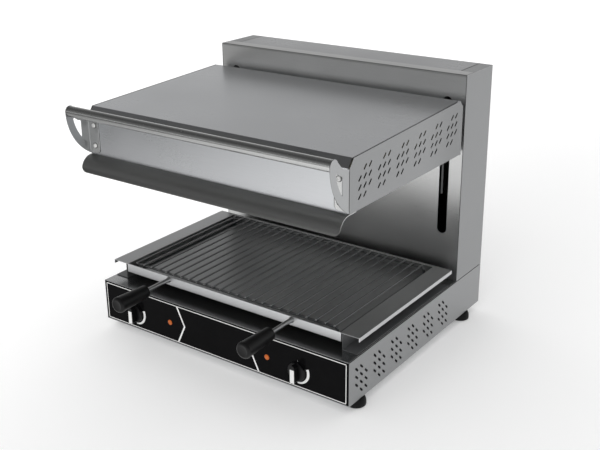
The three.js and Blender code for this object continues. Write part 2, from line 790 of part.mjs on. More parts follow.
// Centre line of a heating element: straight passes along Y joined by half turns,
// with both tails running out of the back
class SerpentineCurve extends THREE.Curve {
  constructor(passes, frontTurn, rearTurn, tailEnd, z, radius) {
    super();
    this.passes = passes;
    this.frontTurn = frontTurn;
    this.rearTurn = rearTurn;
    this.tailEnd = tailEnd;
    this.z = z;
    this.radius = radius;
    this.tail = tailEnd - frontTurn;
    this.pass = rearTurn - frontTurn;
    this.turn = Math.PI * radius;
    this.total = 2 * this.tail + (passes.length - 2) * this.pass + (passes.length - 1) * this.turn;
  }

  getPoint(share, target = new THREE.Vector3()) {
    let rest = share * this.total;
    for (let index = 0; index < this.passes.length; index += 1) {
      const isEnd = index === 0 || index === this.passes.length - 1;
      const length = isEnd ? this.tail : this.pass;
      const goesForward = index % 2 === 0;
      const start = index === 0 ? this.tailEnd : (goesForward ? this.rearTurn : this.frontTurn);
      const heading = goesForward ? -1 : 1;
      const isLast = index === this.passes.length - 1;
      if (rest <= length || isLast) {
        return target.set(this.passes[index], start + heading * rest, this.z);
      }
      rest -= length;
      if (rest <= this.turn) {
        const angle = rest / this.radius;
        const middle = (this.passes[index] + this.passes[index + 1]) / 2;
        const across = Math.sign(this.passes[index + 1] - this.passes[index]);
        const end = goesForward ? this.frontTurn : this.rearTurn;
        return target.set(middle - across * this.radius * Math.cos(angle),
          end + heading * this.radius * Math.sin(angle), this.z);
      }
      rest -= this.turn;
    }
    return target;
  }
}

// Quarter round lip under the front edge of the hood
function addFrontLip() {
  const top = hoodBottom - seam;
  const centreZ = top - lipRadius;
  const points = [[hoodFront + lipFlange, top]];
  for (let step = 0; step <= lipSteps; step += 1) {
    const angle = Math.PI / 2 * (1 + step / lipSteps);
    points.push([hoodFront + lipRadius * Math.cos(angle), centreZ + lipRadius * Math.sin(angle)]);
  }
  const low = centreZ - lipDrop;
  points.push([hoodFront - lipRadius, low]);
  const lipHalf = halfWidth - seam;
  const corners = sides.map(([, sign]) => {
    const outline = new THREE.Shape();
    const centreX = sign * (lipHalf - lipCornerRadius);
    const edge = sign * (lipHalf + overrun);
    outline.moveTo(edge, low - overrun);
    outline.lineTo(centreX, low - overrun);
    outline.absarc(centreX, low + lipCornerRadius, lipCornerRadius, -Math.PI / 2,
      sign > 0 ? 0 : -Math.PI, sign < 0);
    outline.lineTo(edge, low + lipCornerRadius);
    return plateAlongY(outline, hoodFront - lipRadius - overrun, hoodFront, cornerSteps);
  });
  const section = bentSheet(points.reverse(), sheet);
  add('front_lip', cut(plateAlongX(section, -lipHalf, lipHalf), ...corners), 'brushed');
}

// Round handle bar between two ears that are bent out of the front
function addHoodHandle() {
  const tube = new THREE.Shape();
  tube.absarc(barY, barZ, barRadius, 0, 2 * Math.PI);
  const hollow = new THREE.Path();
  hollow.absarc(barY, barZ, barRadius - barWall, 0, 2 * Math.PI, true);
  tube.holes.push(hollow);
  add('handle_bar', plateAlongX(tube, -innerHalf, innerHalf, rodSides), 'bright');

  const plateFace = hoodFront - seam;
  const capRadius = barRadius + weld;
  const frontEdge = barY - capRadius;
  const sweepY = frontEdge + earSweepRadius;
  const lowZ = barZ - Math.sqrt(earSweepRadius ** 2 - (sweepY - plateFace) ** 2);
  const lowAngle = Math.atan2(lowZ - barZ, plateFace - sweepY);
  const notchZ = hoodBottom + earNotchHeight;
  const topZ = hoodBottom + hoodFrontHeight;
  for (const [sideName, sign] of sides) {
    const outline = new THREE.Shape();
    outline.moveTo(plateFace, topZ);
    outline.lineTo(-earTopReach, topZ);
    outline.quadraticCurveTo(-earNotchReach + earHoleCorner, notchZ - earHoleCorner, -earNotchReach, notchZ);
    outline.absarc(barY, barZ, capRadius, earCapStart, Math.PI, false);
    outline.absarc(sweepY, barZ, earSweepRadius, Math.PI, lowAngle + 2 * Math.PI, false);

    const innerSweep = earSweepRadius - earBandWidth;
    const tipZ = barZ - Math.sqrt(innerSweep ** 2 - (sweepY + earHoleBack) ** 2);
    const topFrontZ = hoodBottom + earHoleTopFront;
    const topFrontY = sweepY - Math.sqrt(innerSweep ** 2 - (barZ - topFrontZ) ** 2);
    const holeStart = Math.atan2(topFrontZ - earHoleCorner - barZ, topFrontY - sweepY) + 2 * Math.PI;
    const holeEnd = Math.atan2(tipZ + earHoleCorner - barZ,
      -earHoleBack - earHoleCorner - sweepY) + 2 * Math.PI;
    const hole = new THREE.Path();
    hole.absarc(sweepY, barZ, innerSweep, holeStart, holeEnd, false);
    hole.quadraticCurveTo(-earHoleBack, tipZ, -earHoleBack, tipZ + 2 * earHoleCorner);
    hole.lineTo(-earHoleBack, hoodBottom + earHoleTopRear - earHoleCorner);
    hole.quadraticCurveTo(-earHoleBack, hoodBottom + earHoleTopRear,
      -earHoleBack - earHoleCorner, hoodBottom + earHoleTopRear + earHoleCorner / 2);
    hole.lineTo(topFrontY + earHoleCorner, topFrontZ - earHoleCorner / 2);
    outline.holes.push(hole);

    const [x0, x1] = span(sign, halfWidth - sheet, halfWidth);
    const flangeInner = halfWidth - earFlangeWidth;
    const flange = new THREE.Shape();
    const flangeLow = hoodBottom + earFlangeLow;
    const flangeHigh = hoodBottom + earFlangeHigh;
    const inner = sign * flangeInner;
    const rounded = sign * (flangeInner + earFlangeCorner);
    flange.moveTo(sign * halfWidth, flangeLow);
    flange.lineTo(sign * halfWidth, flangeHigh);
    flange.lineTo(rounded, flangeHigh);
    flange.quadraticCurveTo(inner, flangeHigh, inner, flangeHigh - earFlangeCorner);
    flange.lineTo(inner, flangeLow + earFlangeCorner);
    flange.quadraticCurveTo(inner, flangeLow, rounded, flangeLow);
    add(`handle_ear_${sideName}`, join(
      plateAlongX(outline, x0, x1, earSteps),
      plateAlongY(flange, plateFace - sheet, plateFace, slimCornerSteps)), 'brushed');
  }
}

// Drip tray, the rails that it slides on and its two handles
function addTray() {
  const flangeLow = trayRim - traySheet;
  const wallOuter = trayHalfWidth;
  const wallInner = trayHalfWidth - traySheet;
  const pieces = [box(-wallOuter, wallOuter, trayFront, trayRear, trayFloor, trayRim)];
  for (const [, sign] of sides) {
    const [x0, x1] = span(sign, wallInner, halfWidth);
    const [hem0, hem1] = span(sign, halfWidth - traySheet, halfWidth);
    pieces.push(box(x0, x1, trayFront, trayRear + trayRearLip, flangeLow, trayRim));
    pieces.push(box(hem0, hem1, trayFront, trayRear + trayRearLip, trayRim - trayHem, trayRim));
  }
  pieces.push(box(-wallOuter, wallOuter, trayRear - traySheet, trayRear + trayRearLip, flangeLow, trayRim));
  const basin = box(-wallInner, wallInner, trayFront + traySheet, trayRear - traySheet,
    trayFloor + traySheet, trayRim + overrun);
  add('drip_tray', cut(join(...pieces), basin), 'polished');

  for (const [sideName, sign] of sides) {
    const railInner = trayHalfWidth + railClearance;
    const footOuter = halfWidth - railFootInset;
    const footLow = deckTop + seam;
    const [web0, web1] = span(sign, railInner, railInner + sheet);
    const [foot0, foot1] = span(sign, railInner, footOuter);
    add(`tray_rail_${sideName}`, join(
      box(web0, web1, trayFront, trayRear, footLow, flangeLow - seam),
      box(foot0, foot1, trayFront, trayRear, footLow, footLow + sheet)), 'brushed');
  }

  const handlePlaces = [['left', -trayHandleLeftOffset], ['right', trayHandleRightOffset]];
  for (const [sideName, x] of handlePlaces) {
    const gripRear = trayFront - gripRearGap;
    const gripFront = gripRear - gripLength;
    const boreRadius = trayRodRadius + seam;
    const boreEnd = gripRear - gripBoreDepth;
    add(`tray_handle_rod_${sideName}`, rodAlongY(trayRodRadius, x, boreEnd + seam,
      trayFront - seam, trayHandleHeight), 'bright');
    add(`tray_grip_${sideName}`, turnedAlongY([
      [0, gripFront],
      [gripFrontRadius - gripRound, gripFront],
      [gripFrontRadius - gripRound / 4, gripFront + gripRound / 3],
      [gripFrontRadius, gripFront + gripRound],
      [gripRearRadius, gripRear],
      [boreRadius, gripRear],
      [boreRadius, boreEnd],
      [0, boreEnd]], x, trayHandleHeight, wideSides), 'plastic');
  }
}

// Wire rack that stands in the tray on two runners and lifts out
function addRack() {
  const wireZ = trayRim + wireRise;
  const crossZ = wireZ - wireRadius - crossRadius + weld;
  const wireFront = trayFront + wireFrontGap;
  const wireRear = trayRear - wireRearGap;
  const wiresPerSide = Math.floor((trayHalfWidth - traySheet - wireSideGap) / wirePitch);
  const crossHalf = wiresPerSide * wirePitch + crossOverhang;
  const runnerZ = trayFloor + traySheet + seam + crossRadius;
  const crossPlaces = [
    wireFront + crossInset,
    (wireFront + wireRear) / 2,
    wireRear - crossInset];
  const pieces = [];
  for (let wire = -wiresPerSide; wire <= wiresPerSide; wire += 1) {
    pieces.push(rodAlongY(wireRadius, wire * wirePitch, wireFront, wireRear, wireZ, wireSides));
  }
  for (const y of crossPlaces) {
    pieces.push(rodAlongX(crossRadius, -crossHalf, crossHalf, y, crossZ, wireSides));
  }
  add('wire_rack', join(...pieces), 'bright');

  for (const [sideName, sign] of sides) {
    const x = sign * (crossHalf - crossRadius);
    const uprights = crossPlaces.map((y) =>
      rodAlongZ(crossRadius, x, y, runnerZ, crossZ - crossRadius - seam, runnerSides));
    add(`rack_runner_${sideName}`, join(
      rodAlongY(crossRadius, x, wireFront, wireRear, runnerZ, runnerSides), ...uprights), 'bright');
  }
}

addBase();
addControls();
addInlet();
addColumn();
addGuides();
addCarriage();
addHoodShell();
addHeating();
addFrontLip();
addHoodHandle();
addTray();
addRack();

export default grill;
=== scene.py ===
import json
import math

import bmesh
import bpy
from mathutils import Matrix, Vector

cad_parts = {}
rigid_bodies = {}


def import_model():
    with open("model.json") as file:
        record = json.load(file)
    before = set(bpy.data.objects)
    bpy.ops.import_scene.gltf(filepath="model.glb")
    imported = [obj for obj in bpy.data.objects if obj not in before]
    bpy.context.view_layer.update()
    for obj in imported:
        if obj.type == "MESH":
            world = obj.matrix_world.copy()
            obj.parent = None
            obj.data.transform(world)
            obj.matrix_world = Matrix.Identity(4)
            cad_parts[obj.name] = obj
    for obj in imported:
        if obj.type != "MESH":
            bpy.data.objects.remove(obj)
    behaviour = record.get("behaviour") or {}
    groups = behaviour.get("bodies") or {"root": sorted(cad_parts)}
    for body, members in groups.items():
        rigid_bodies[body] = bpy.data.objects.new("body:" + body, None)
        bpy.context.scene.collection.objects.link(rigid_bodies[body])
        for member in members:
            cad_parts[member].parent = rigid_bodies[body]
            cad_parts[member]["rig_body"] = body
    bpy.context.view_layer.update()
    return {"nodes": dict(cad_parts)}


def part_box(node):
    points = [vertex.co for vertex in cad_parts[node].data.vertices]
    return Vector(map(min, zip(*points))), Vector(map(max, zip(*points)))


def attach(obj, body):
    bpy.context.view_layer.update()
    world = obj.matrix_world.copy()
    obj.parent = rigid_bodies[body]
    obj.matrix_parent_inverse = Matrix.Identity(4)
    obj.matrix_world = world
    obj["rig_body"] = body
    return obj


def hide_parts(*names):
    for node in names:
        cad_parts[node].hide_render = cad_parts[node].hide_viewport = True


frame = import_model()

MM = 0.001
SIDES = (("left", -1), ("right", 1))

# Places read from the frame
BASE_LOW, BASE_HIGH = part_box("base_side_right")
SHELL_LOW, SHELL_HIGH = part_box("hood_top_shell")
RACK_LOW, RACK_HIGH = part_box("wire_rack")
RUNNER_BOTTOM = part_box("rack_runner_right")[0].z
PANEL_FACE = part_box("control_panel_fascia")[0].y
HOOD_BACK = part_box("hood_side_right")[1].y
COLUMN_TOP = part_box("column_side_right")[1].z
FRONT = BASE_LOW.y
UNDERSIDE = BASE_LOW.z
SHEET = BASE_HIGH.x - BASE_LOW.x


def above(height):
    """A height given in millimetres above the cabinet's underside."""
    return UNDERSIDE + height * MM


def turns(angles):
    """The sine and cosine of each angle in degrees."""
    return [(math.sin(math.radians(angle)), math.cos(math.radians(angle))) for angle in angles]


def new_object(name, data):
    made = bpy.data.objects.new(name, data)
    bpy.context.scene.collection.objects.link(made)
    return made


# Camera, fitted to the photograph's 600 by 450 frame. Angles in degrees, lens and sensor in mm
CAMERA_PLACE = (1.0717, -1.4131, 0.9309)
CAMERA_AZIMUTH = 36.16
CAMERA_ELEVATION = 20.47
CAMERA_ROLL = -0.66
CAMERA_LENS = 57.0
CAMERA_SENSOR = 36
CAMERA_SHIFT = (0.008, -0.0324)
CAMERA_REACH = 60


def make_camera():
    azimuth, elevation, roll = turns((CAMERA_AZIMUTH, CAMERA_ELEVATION, CAMERA_ROLL))
    back = Vector((azimuth[0] * elevation[1], -azimuth[1] * elevation[1], elevation[0]))
    right = Vector((0, 0, 1)).cross(back).normalized()
    up = back.cross(right)
    across = right * roll[1] + up * roll[0]
    upright = up * roll[1] - right * roll[0]
    turn = Matrix((across, upright, back)).transposed()
    data = bpy.data.cameras.new("camera")
    data.sensor_width = CAMERA_SENSOR
    data.lens = CAMERA_LENS
    data.shift_x, data.shift_y = CAMERA_SHIFT
    data.clip_end = CAMERA_REACH
    camera = new_object("camera", data)
    camera.matrix_world = Matrix.Translation(CAMERA_PLACE) @ turn.to_4x4()
    bpy.context.scene.camera = camera


# Node helpers
def node(tree, kind, **values):
    """A shader node with its inputs and settings. An input may be another node's output."""
    made = tree.nodes.new(f"ShaderNode{kind}")
    for key, value in values.items():
        if key not in made.inputs:
            setattr(made, key, value)
        elif isinstance(value, bpy.types.NodeSocket):
            tree.links.new(value, made.inputs[key])
        else:
            made.inputs[key].default_value = value
    return made


def empty_tree(owner):
    """The emptied node tree of a world or material."""
    owner.use_nodes = True
    owner.node_tree.nodes.clear()
    return owner.node_tree


def split(tree, place):
    """The separate X, Y and Z of a place or direction."""
    return node(tree, "SeparateXYZ", Vector=place).outputs


def ramp(tree, source, low, high, start, end, smooth=True):
    """Maps a value from one range to another, held at both ends."""
    limits = {"From Min": low, "From Max": high, "To Min": start, "To Max": end}
    kind = "SMOOTHSTEP" if smooth else "LINEAR"
    return node(tree, "MapRange", interpolation_type=kind, Value=source, **limits).outputs["Result"]


def math_node(tree, operation, first, second):
    made = node(tree, "Math", operation=operation)
    for socket, value in zip(made.inputs, (first, second)):
        if isinstance(value, (int, float)):
            socket.default_value = value
        else:
            tree.links.new(value, socket)
    return made.outputs[0]


def product(tree, first, second):
    return math_node(tree, "MULTIPLY", first, second)


def greater(tree, first, second):
    return math_node(tree, "MAXIMUM", first, second)


# Ramps of the studio's light: two places on an axis of the direction and the levels there
BEHIND_RAMP = (0.10, 0.80, 0.78, 0.12)
AHEAD_RAMP = (0.0, 0.75, 0.36, 0.07)
BEHIND_SHARE_RAMP = (-0.4, 0.5, 0.0, 1.0)
HORIZON_RAMP = (0.06, 0.16, 1.0, 0.0)
OVERHEAD_RAMP = (0.88, 0.97, 0.0, 0.45)


def make_world():
    """A plain soft studio: bright round the horizon, dimmer in front and overhead."""
    world = bpy.data.worlds.new("studio")
    bpy.context.scene.world = world
    tree = empty_tree(world)
    direction = split(tree, node(tree, "TexCoord").outputs["Generated"])
    behind = ramp(tree, direction["Z"], *BEHIND_RAMP)
    ahead = ramp(tree, direction["Z"], *AHEAD_RAMP, smooth=False)
    share = ramp(tree, direction["Y"], *BEHIND_SHARE_RAMP)
    rest = math_node(tree, "SUBTRACT", 1.0, share)
    level = math_node(tree, "ADD", product(tree, behind, share), product(tree, ahead, rest))
    horizon = ramp(tree, direction["Z"], *HORIZON_RAMP)
    overhead = ramp(tree, direction["Z"], *OVERHEAD_RAMP)
    level = greater(tree, level, greater(tree, horizon, overhead))
    light = node(tree, "Background", Color=(1, 1, 1, 1), Strength=level)
    node(tree, "OutputWorld", Surface=light.outputs[0])


# Energy, spread and tilt of the lights, angles in degrees
SKYLIGHT = (1.8, 120, (-12, -14, 0))
FRONT_FILL = (2.3, 90, (78, 0, 12))


def make_lamps():
    """A soft overhead light and a soft one from the front, which metal doesn't mirror."""
    for name, (energy, spread, tilt) in (("skylight", SKYLIGHT), ("front_fill", FRONT_FILL)):
        sun = bpy.data.lights.new(name, "SUN")
        sun.energy = energy
        sun.angle = math.radians(spread)
        lamp = new_object(name, sun)
        lamp.rotation_euler = [math.radians(angle) for angle in tilt]
        lamp.visible_glossy = False


FLOOR_SIZE = 30
FLOOR_TONE = 0.8
FLOOR_GLOW = 0.35
# Ramps over the floor: two places in metres and the values there. A patch of painted shade at the left is
# seen only in reflections, so metal mirrors the floor darker there, and the glow the camera sees falls off
# behind the grill at the right as painted shade
FAR_LEFT_RAMP = (-1.5, -0.32, 0.85, 0.0)
FAR_FRONT_RAMP = (-1.1, -0.6, 1.0, 0.0)
CLOSE_LEFT_RAMP = (-1.1, 0.1, 0.65, 0.0)
CLOSE_FRONT_RAMP = (-1.05, -0.75, 0.0, 1.0)
FALL_BACK_RAMP = (1.0, 3.5, 0.17, 0.0)
FALL_RIGHT_RAMP = (-0.9, 0.1, 0.0, 1.0)


def make_floor():
    mesh = bpy.data.meshes.new("floor")
    corners = [(x * FLOOR_SIZE, y * FLOOR_SIZE, 0) for x, y in ((-1, -1), (1, -1), (1, 1), (-1, 1))]
    mesh.from_pydata(corners, [], [(0, 1, 2, 3)])
    floor = new_object("floor", mesh)
    material = bpy.data.materials.new("floor")
    tree = empty_tree(material)
    place = split(tree, node(tree, "TexCoord").outputs["Object"])
    path = node(tree, "LightPath").outputs
    camera, glossy, through = (path[f"Is {kind} Ray"] for kind in ("Camera", "Glossy", "Transmission"))

    far = product(tree, ramp(tree, place["X"], *FAR_LEFT_RAMP, smooth=False),
                  ramp(tree, place["Y"], *FAR_FRONT_RAMP))
    close = product(tree, ramp(tree, place["X"], *CLOSE_LEFT_RAMP, smooth=False),
                    ramp(tree, place["Y"], *CLOSE_FRONT_RAMP))
    # Painted shade on the floor that only reflections see
    shaded = product(tree, glossy, greater(tree, far, close))
    tone = math_node(tree, "SUBTRACT", 1.0, shaded)
    level = product(tree, tone, FLOOR_TONE)
    shade = node(tree, "CombineXYZ", X=level, Y=level, Z=level)
    diffuse = node(tree, "BsdfDiffuse", Color=shade.outputs[0])

    near = ramp(tree, place["Y"], *FALL_BACK_RAMP)
    right = ramp(tree, place["X"], *FALL_RIGHT_RAMP)
    # Painted shade: the glow the camera sees falls off behind the grill at the right
    fall = product(tree, camera, product(tree, near, right))
    lit = math_node(tree, "SUBTRACT", FLOOR_GLOW, fall)
    seen = greater(tree, camera, greater(tree, glossy, through))
    glow = node(tree, "Emission", Strength=product(tree, product(tree, seen, tone), lit))

    both = node(tree, "AddShader")
    for socket, shader in zip(both.inputs, (diffuse, glow)):
        tree.links.new(shader.outputs[0], socket)
    node(tree, "OutputMaterial", Surface=both.outputs[0])
    mesh.materials.append(material)


# Materials. Texture coordinates are the object's own, in metres, so every grain has its real scale
FINE_NOISE = dict(Detail=4.0, Roughness=0.6)
BROAD_DETAIL = 3.0
NOISE_RANGE = (0.6, 1.4)
LEAST_ROUGHNESS = 0.02
BUMP_DEPTH = 0.0002


def surface(name, base, roughness, scale, tone, rough, bump, metallic=0.0, grain=(1, 1, 1),
            blotch=7, fade=None, **sockets):
    """A surface with fine grain, large soft blotches and the given shader values.

    tone and rough are the spread of colour and roughness. The ramp of painted light and shade holds an axis,
    two places along it and the strengths of the colour there."""
    material = bpy.data.materials.new(name)
    material.use_nodes = True
    tree = material.node_tree
    shader = tree.nodes["Principled BSDF"].inputs
    shader["Metallic"].default_value = metallic
    for key, value in sockets.items():
        shader[key.replace("_", " ")].default_value = value
    where = node(tree, "TexCoord").outputs["Object"]
    stretched = node(tree, "Mapping", Scale=grain, Vector=where).outputs["Vector"]
    fine = node(tree, "TexNoise", Scale=scale, Vector=stretched, **FINE_NOISE).outputs["Fac"]
    broad = node(tree, "TexNoise", Scale=blotch, Detail=BROAD_DETAIL, Vector=where).outputs["Fac"]
    noise = math_node(tree, "ADD", fine, broad)

    share = ramp(tree, noise, *NOISE_RANGE, 0.0, 1.0, smooth=False)
    mix = node(tree, "Mix", data_type="RGBA", Factor=share)
    shades = {
        "A": [max(0.0, channel * (1 - tone)) for channel in base],
        "B": [min(1.0, channel * (1 + tone)) for channel in base]}
    for socket in mix.inputs:
        if socket.type == "RGBA":
            socket.default_value = (*shades[socket.name], 1)
    colour = next(socket for socket in mix.outputs if socket.type == "RGBA")
    # Painted light and shade: the colour scaled along a ramp on one axis
    if fade:
        axis, *span = fade
        strength = ramp(tree, split(tree, where)[axis], *span)
        colour = node(tree, "VectorMath", operation="SCALE", Vector=colour, Scale=strength).outputs[0]
    tree.links.new(colour, shader["Base Color"])

    polish = (max(LEAST_ROUGHNESS, roughness - rough), roughness + rough)
    tree.links.new(ramp(tree, noise, *NOISE_RANGE, *polish, smooth=False), shader["Roughness"])
    relief = node(tree, "Bump", Strength=bump, Distance=BUMP_DEPTH, Height=fine)
    tree.links.new(relief.outputs["Normal"], shader["Normal"])
    return material


GRAIN_X = (0.02, 1, 1)
GRAIN_Y = (1, 0.02, 1)
GRAIN_Z = (1, 1, 0.02)
BRUSHED = (1400, 0.05, 0.05, 0.02)

# Brushed steel sheets: colour, roughness and direction of the grain. The one steel takes a tone for each face
# as painted light and shade: darker on the side panels, column sides, rear cover, ear plates, lip and slide
# rails, lighter on the column face and the ears' flanges
SHEETS = {
    "top": ((0.57, 0.58, 0.595), 0.30, GRAIN_X),
    "front": ((0.79, 0.795, 0.79), 0.22, GRAIN_X),
    "flange": ((0.61, 0.615, 0.61), 0.25, GRAIN_X),
    "ear": ((0.36, 0.365, 0.37), 0.36, GRAIN_Y),
    "bar": ((0.58, 0.585, 0.58), 0.24, GRAIN_X),
    "side": ((0.265, 0.269, 0.273), 0.36, GRAIN_Y),
    "column": ((0.80, 0.805, 0.80), 0.32, GRAIN_X),
    "hood_side": ((0.265, 0.269, 0.273), 0.36, GRAIN_Y),
    "post": ((0.245, 0.249, 0.253), 0.36, GRAIN_Z),
    "lip": ((0.38, 0.385, 0.38), 0.40, GRAIN_X),
    "deck": ((0.36, 0.364, 0.368), 0.22, GRAIN_X),
    "tray": ((0.49, 0.495, 0.50), 0.38, GRAIN_X),
    "cap": ((0.34, 0.345, 0.355), 0.30, GRAIN_X),
    "rail": ((0.105, 0.108, 0.111), 0.40, GRAIN_Y),
    "arm": ((0.16, 0.163, 0.166), 0.40, GRAIN_Z)}
LESS_METALLIC = {"deck": 0.97, "rail": 0.4}

# Painted light and shade on the sheets, as ramps of their colour: the axis, two places along it and the
# strengths there.
# The hood front is painted lighter than its chamfer and top, the handle bar darker towards its left end, the
# column face darker at its top bend, the hood sides darker towards the rear, the column sides and rear cover
# lighter along the column's top edge, the lip darker at its bottom and lighter at its top, the deck lighter
# at its left end and the tray's front lighter
PAINTED_LIGHT_RAMPS = {
    "top": ("Z", SHELL_LOW.z + 77 * MM, SHELL_LOW.z + 79 * MM, 1.18, 1.0),
    "bar": ("X", -280 * MM, 220 * MM, 0.75, 1.0),
    "column": ("Z", above(508), above(513), 1.0, 0.60),
    "hood_side": ("Y", HOOD_BACK - 170 * MM, HOOD_BACK - 10 * MM, 1.0, 0.8),
    "post": ("Z", COLUMN_TOP - 1.6 * MM, COLUMN_TOP - 0.4 * MM, 1.0, 1.45),
    "lip": ("Z", above(336), above(361), 0.34, 1.22),
    "deck": ("X", -300 * MM, -235 * MM, 1.6, 1.0),
    "tray": ("Y", FRONT + 31.2 * MM, FRONT + 33 * MM, 1.5, 1.0)}

# All other materials: name, colour, roughness, scale of the grain, spread of colour and of
# roughness, bump, and what else the surface takes
METAL = dict(metallic=1.0)
OTHERS = {
    "bright": ("steel_bright", (0.66, 0.665, 0.67), 0.16, 900, 0.04, 0.04, 0.03, METAL),
    # The rack's wires take painted shade, darker towards the right
    "wire": ("steel_wire", (0.30, 0.304, 0.308), 0.30, 900, 0.05, 0.04, 0.03, dict(
        metallic=1.0, fade=("X", 0.04, 0.2, 1.0, 0.8))),
    "rod": ("steel_rod", (0.42, 0.425, 0.43), 0.30, 900, 0.05, 0.04, 0.03, METAL),
    "plain": ("steel_plain", (0.46, 0.47, 0.48), 0.38, 260, 0.08, 0.08, 0.12, METAL),
    "polished": ("steel_polished", (0.62, 0.62, 0.61), 0.14, 90, 0.05, 0.05, 0.05, METAL),
    "screw": ("steel_screw", (0.85, 0.85, 0.84), 0.34, 700, 0.05, 0.05, 0.04, dict(metallic=0.5)),
    "gloss": ("black_gloss", (0.004, 0.004, 0.0043), 0.12, 60, 0.2, 0.04, 0.03, dict(IOR=1.1)),
    "ink": ("white_ink", (0.82, 0.82, 0.81), 0.42, 900, 0.04, 0.05, 0.05, {}),
    "insert": ("white_insert", (0.80, 0.80, 0.79), 0.38, 500, 0.04, 0.05, 0.04, {}),
    "grip": ("black_grip", (0.004, 0.004, 0.0043), 0.40, 850, 0.25, 0.08, 0.12, dict(
        Specular_IOR_Level=0.25)),
    "knob": ("black_knob", (0.003, 0.003, 0.0033), 0.34, 700, 0.25, 0.07, 0.08, dict(
        Specular_IOR_Level=0.25)),
    "rubber": ("black_rubber", (0.003, 0.003, 0.0033), 0.62, 500, 0.3, 0.1, 0.3, dict(
        Specular_IOR_Level=0.2)),
    "amber": ("amber_lens", (0.48, 0.10, 0.005), 0.22, 300, 0.12, 0.05, 0.1, dict(
        Emission_Color=(1.0, 0.22, 0.01, 1), Emission_Strength=0.04)),
    "cream": ("cream_moulding", (0.66, 0.61, 0.48), 0.5, 500, 0.06, 0.08, 0.1, {}),
    "brass": ("bush_brass", (0.62, 0.47, 0.2), 0.32, 500, 0.08, 0.08, 0.06, METAL),
    "sheath": ("element_sheath", (0.10, 0.105, 0.10), 0.45, 180, 0.35, 0.12, 0.2, dict(
        metallic=0.7, blotch=25)),
    "wool": ("mineral_wool", (0.62, 0.57, 0.42), 0.95, 900, 0.3, 0.05, 1.0, dict(grain=(1, 1, 4)))}


def make_materials():
    looks = {}
    for name, (base, roughness, grain) in SHEETS.items():
        looks[name] = surface(f"steel_{name}", base, roughness, *BRUSHED, grain=grain,
                              metallic=LESS_METALLIC.get(name, 1.0), fade=PAINTED_LIGHT_RAMPS.get(name))
    for look, (*values, more) in OTHERS.items():
        looks[look] = surface(*values, **more)
    return looks


# Mesh tools
SMOOTH_ANGLE = math.radians(35)


def piece(name, mesh, body, look, replaces=()):
    """Finishes a bmesh as an object that rides on a body and may stand for frame nodes."""
    bmesh.ops.recalc_face_normals(mesh, faces=mesh.faces)
    data = bpy.data.meshes.new(name)
    mesh.to_mesh(data)
    mesh.free()
    data.materials.append(LOOKS[look])
    data.shade_smooth()
    data.set_sharp_from_angle(angle=SMOOTH_ANGLE)
    made = new_object(name, data)
    weighted = made.modifiers.new("flat_faces", "WEIGHTED_NORMAL")
    weighted.keep_sharp = True
    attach(made, body)
    if replaces:
        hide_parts(*replaces)


def stand_in(name, mesh, one, look):
    """A piece that stands for a frame node, on that node's body."""
    piece(name, mesh, frame["nodes"][one]["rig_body"], look, [one])


def round_box(one, axis="Y"):
    """The box of a round node, its middle with 0 along the axis, and its radius."""
    low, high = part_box(one)
    centre = (low + high) / 2
    centre["XYZ".index(axis)] = 0
    radius = (high.z - low.z) / 2 if axis == "X" else (high.x - low.x) / 2
    return low, high, centre, radius


def joined(parts):
    """One bmesh made of several, which are freed."""
    whole = bmesh.new()
    for part in parts:
        data = bpy.data.meshes.new("part")
        part.to_mesh(data)
        part.free()
        whole.from_mesh(data)
        bpy.data.meshes.remove(data)
    return whole


def arc(centre, radius, start, end, steps):
    """Points of an arc in a plane, angles in degrees."""
    angles = [start + (end - start) * step / steps for step in range(steps + 1)]
    return [(centre[0] + radius * c, centre[1] + radius * s) for s, c in turns(angles)]


def direction_angle(along, up):
    """The angle in degrees of a direction in the lower half of a plane."""
    return math.degrees(math.atan2(up, along)) + 360


def rounded(points, radii, steps=6, closed=True):
    """A polygon or open line with its corners turned into arcs."""
    count = len(points)
    out = []
    for i, corner in enumerate(points):
        radius = radii[i] if isinstance(radii, (list, tuple)) else radii
        if radius <= 0 or (not closed and i in (0, count - 1)):
            out.append(tuple(corner))
            continue
        here = Vector(corner)
        before = (Vector(points[i - 1]) - here).normalized()
        after = (Vector(points[(i + 1) % count]) - here).normalized()
        half = before.angle(after) / 2
        reach = radius / math.tan(half)
        middle = here + (before + after).normalized() * (radius / math.sin(half))
        first = here + before * reach - middle
        turn = first.angle_signed(here + after * reach - middle)
        for step in range(steps + 1):
            angle = -turn * step / steps
            s, c = math.sin(angle), math.cos(angle)
            spun = Vector((first.x * c - first.y * s, first.x * s + first.y * c))
            out.append(tuple(middle + spun))
    return out


# Ways to lay an outline on a face: u and v run along it, w into the plate's depth
def facing_side(face, sign):
    """Outlines of (y, z) on a face at the side, with the depth inwards."""
    return lambda u, v, w: Vector((face - sign * w, u, v))


def facing_front(face, sign=-1):
    """Outlines of (x, z) on a face at the front, with the depth forwards, or back for +1."""
    return lambda u, v, w: Vector((u, face + sign * w, v))


def plate(outer, holes, place, depth):
    """A flat plate from an outline and holes, laid on a face."""
    mesh = bmesh.new()
    for loop in [outer, *holes]:
        verts = [mesh.verts.new(place(u, v, 0)) for u, v in loop]
        for i, vert in enumerate(verts):
            mesh.edges.new((vert, verts[(i + 1) % len(verts)]))
    bmesh.ops.triangle_fill(mesh, edges=mesh.edges[:], use_beauty=True)
    if not holes:
        bmesh.ops.dissolve_limit(mesh, angle_limit=0.01, verts=mesh.verts, edges=mesh.edges)
    grown = bmesh.ops.extrude_face_region(mesh, geom=mesh.faces[:])
    shift = place(0, 0, depth) - place(0, 0, 0)
    moved = [item for item in grown["geom"] if isinstance(item, bmesh.types.BMVert)]
    bmesh.ops.translate(mesh, vec=shift, verts=moved)
    return mesh


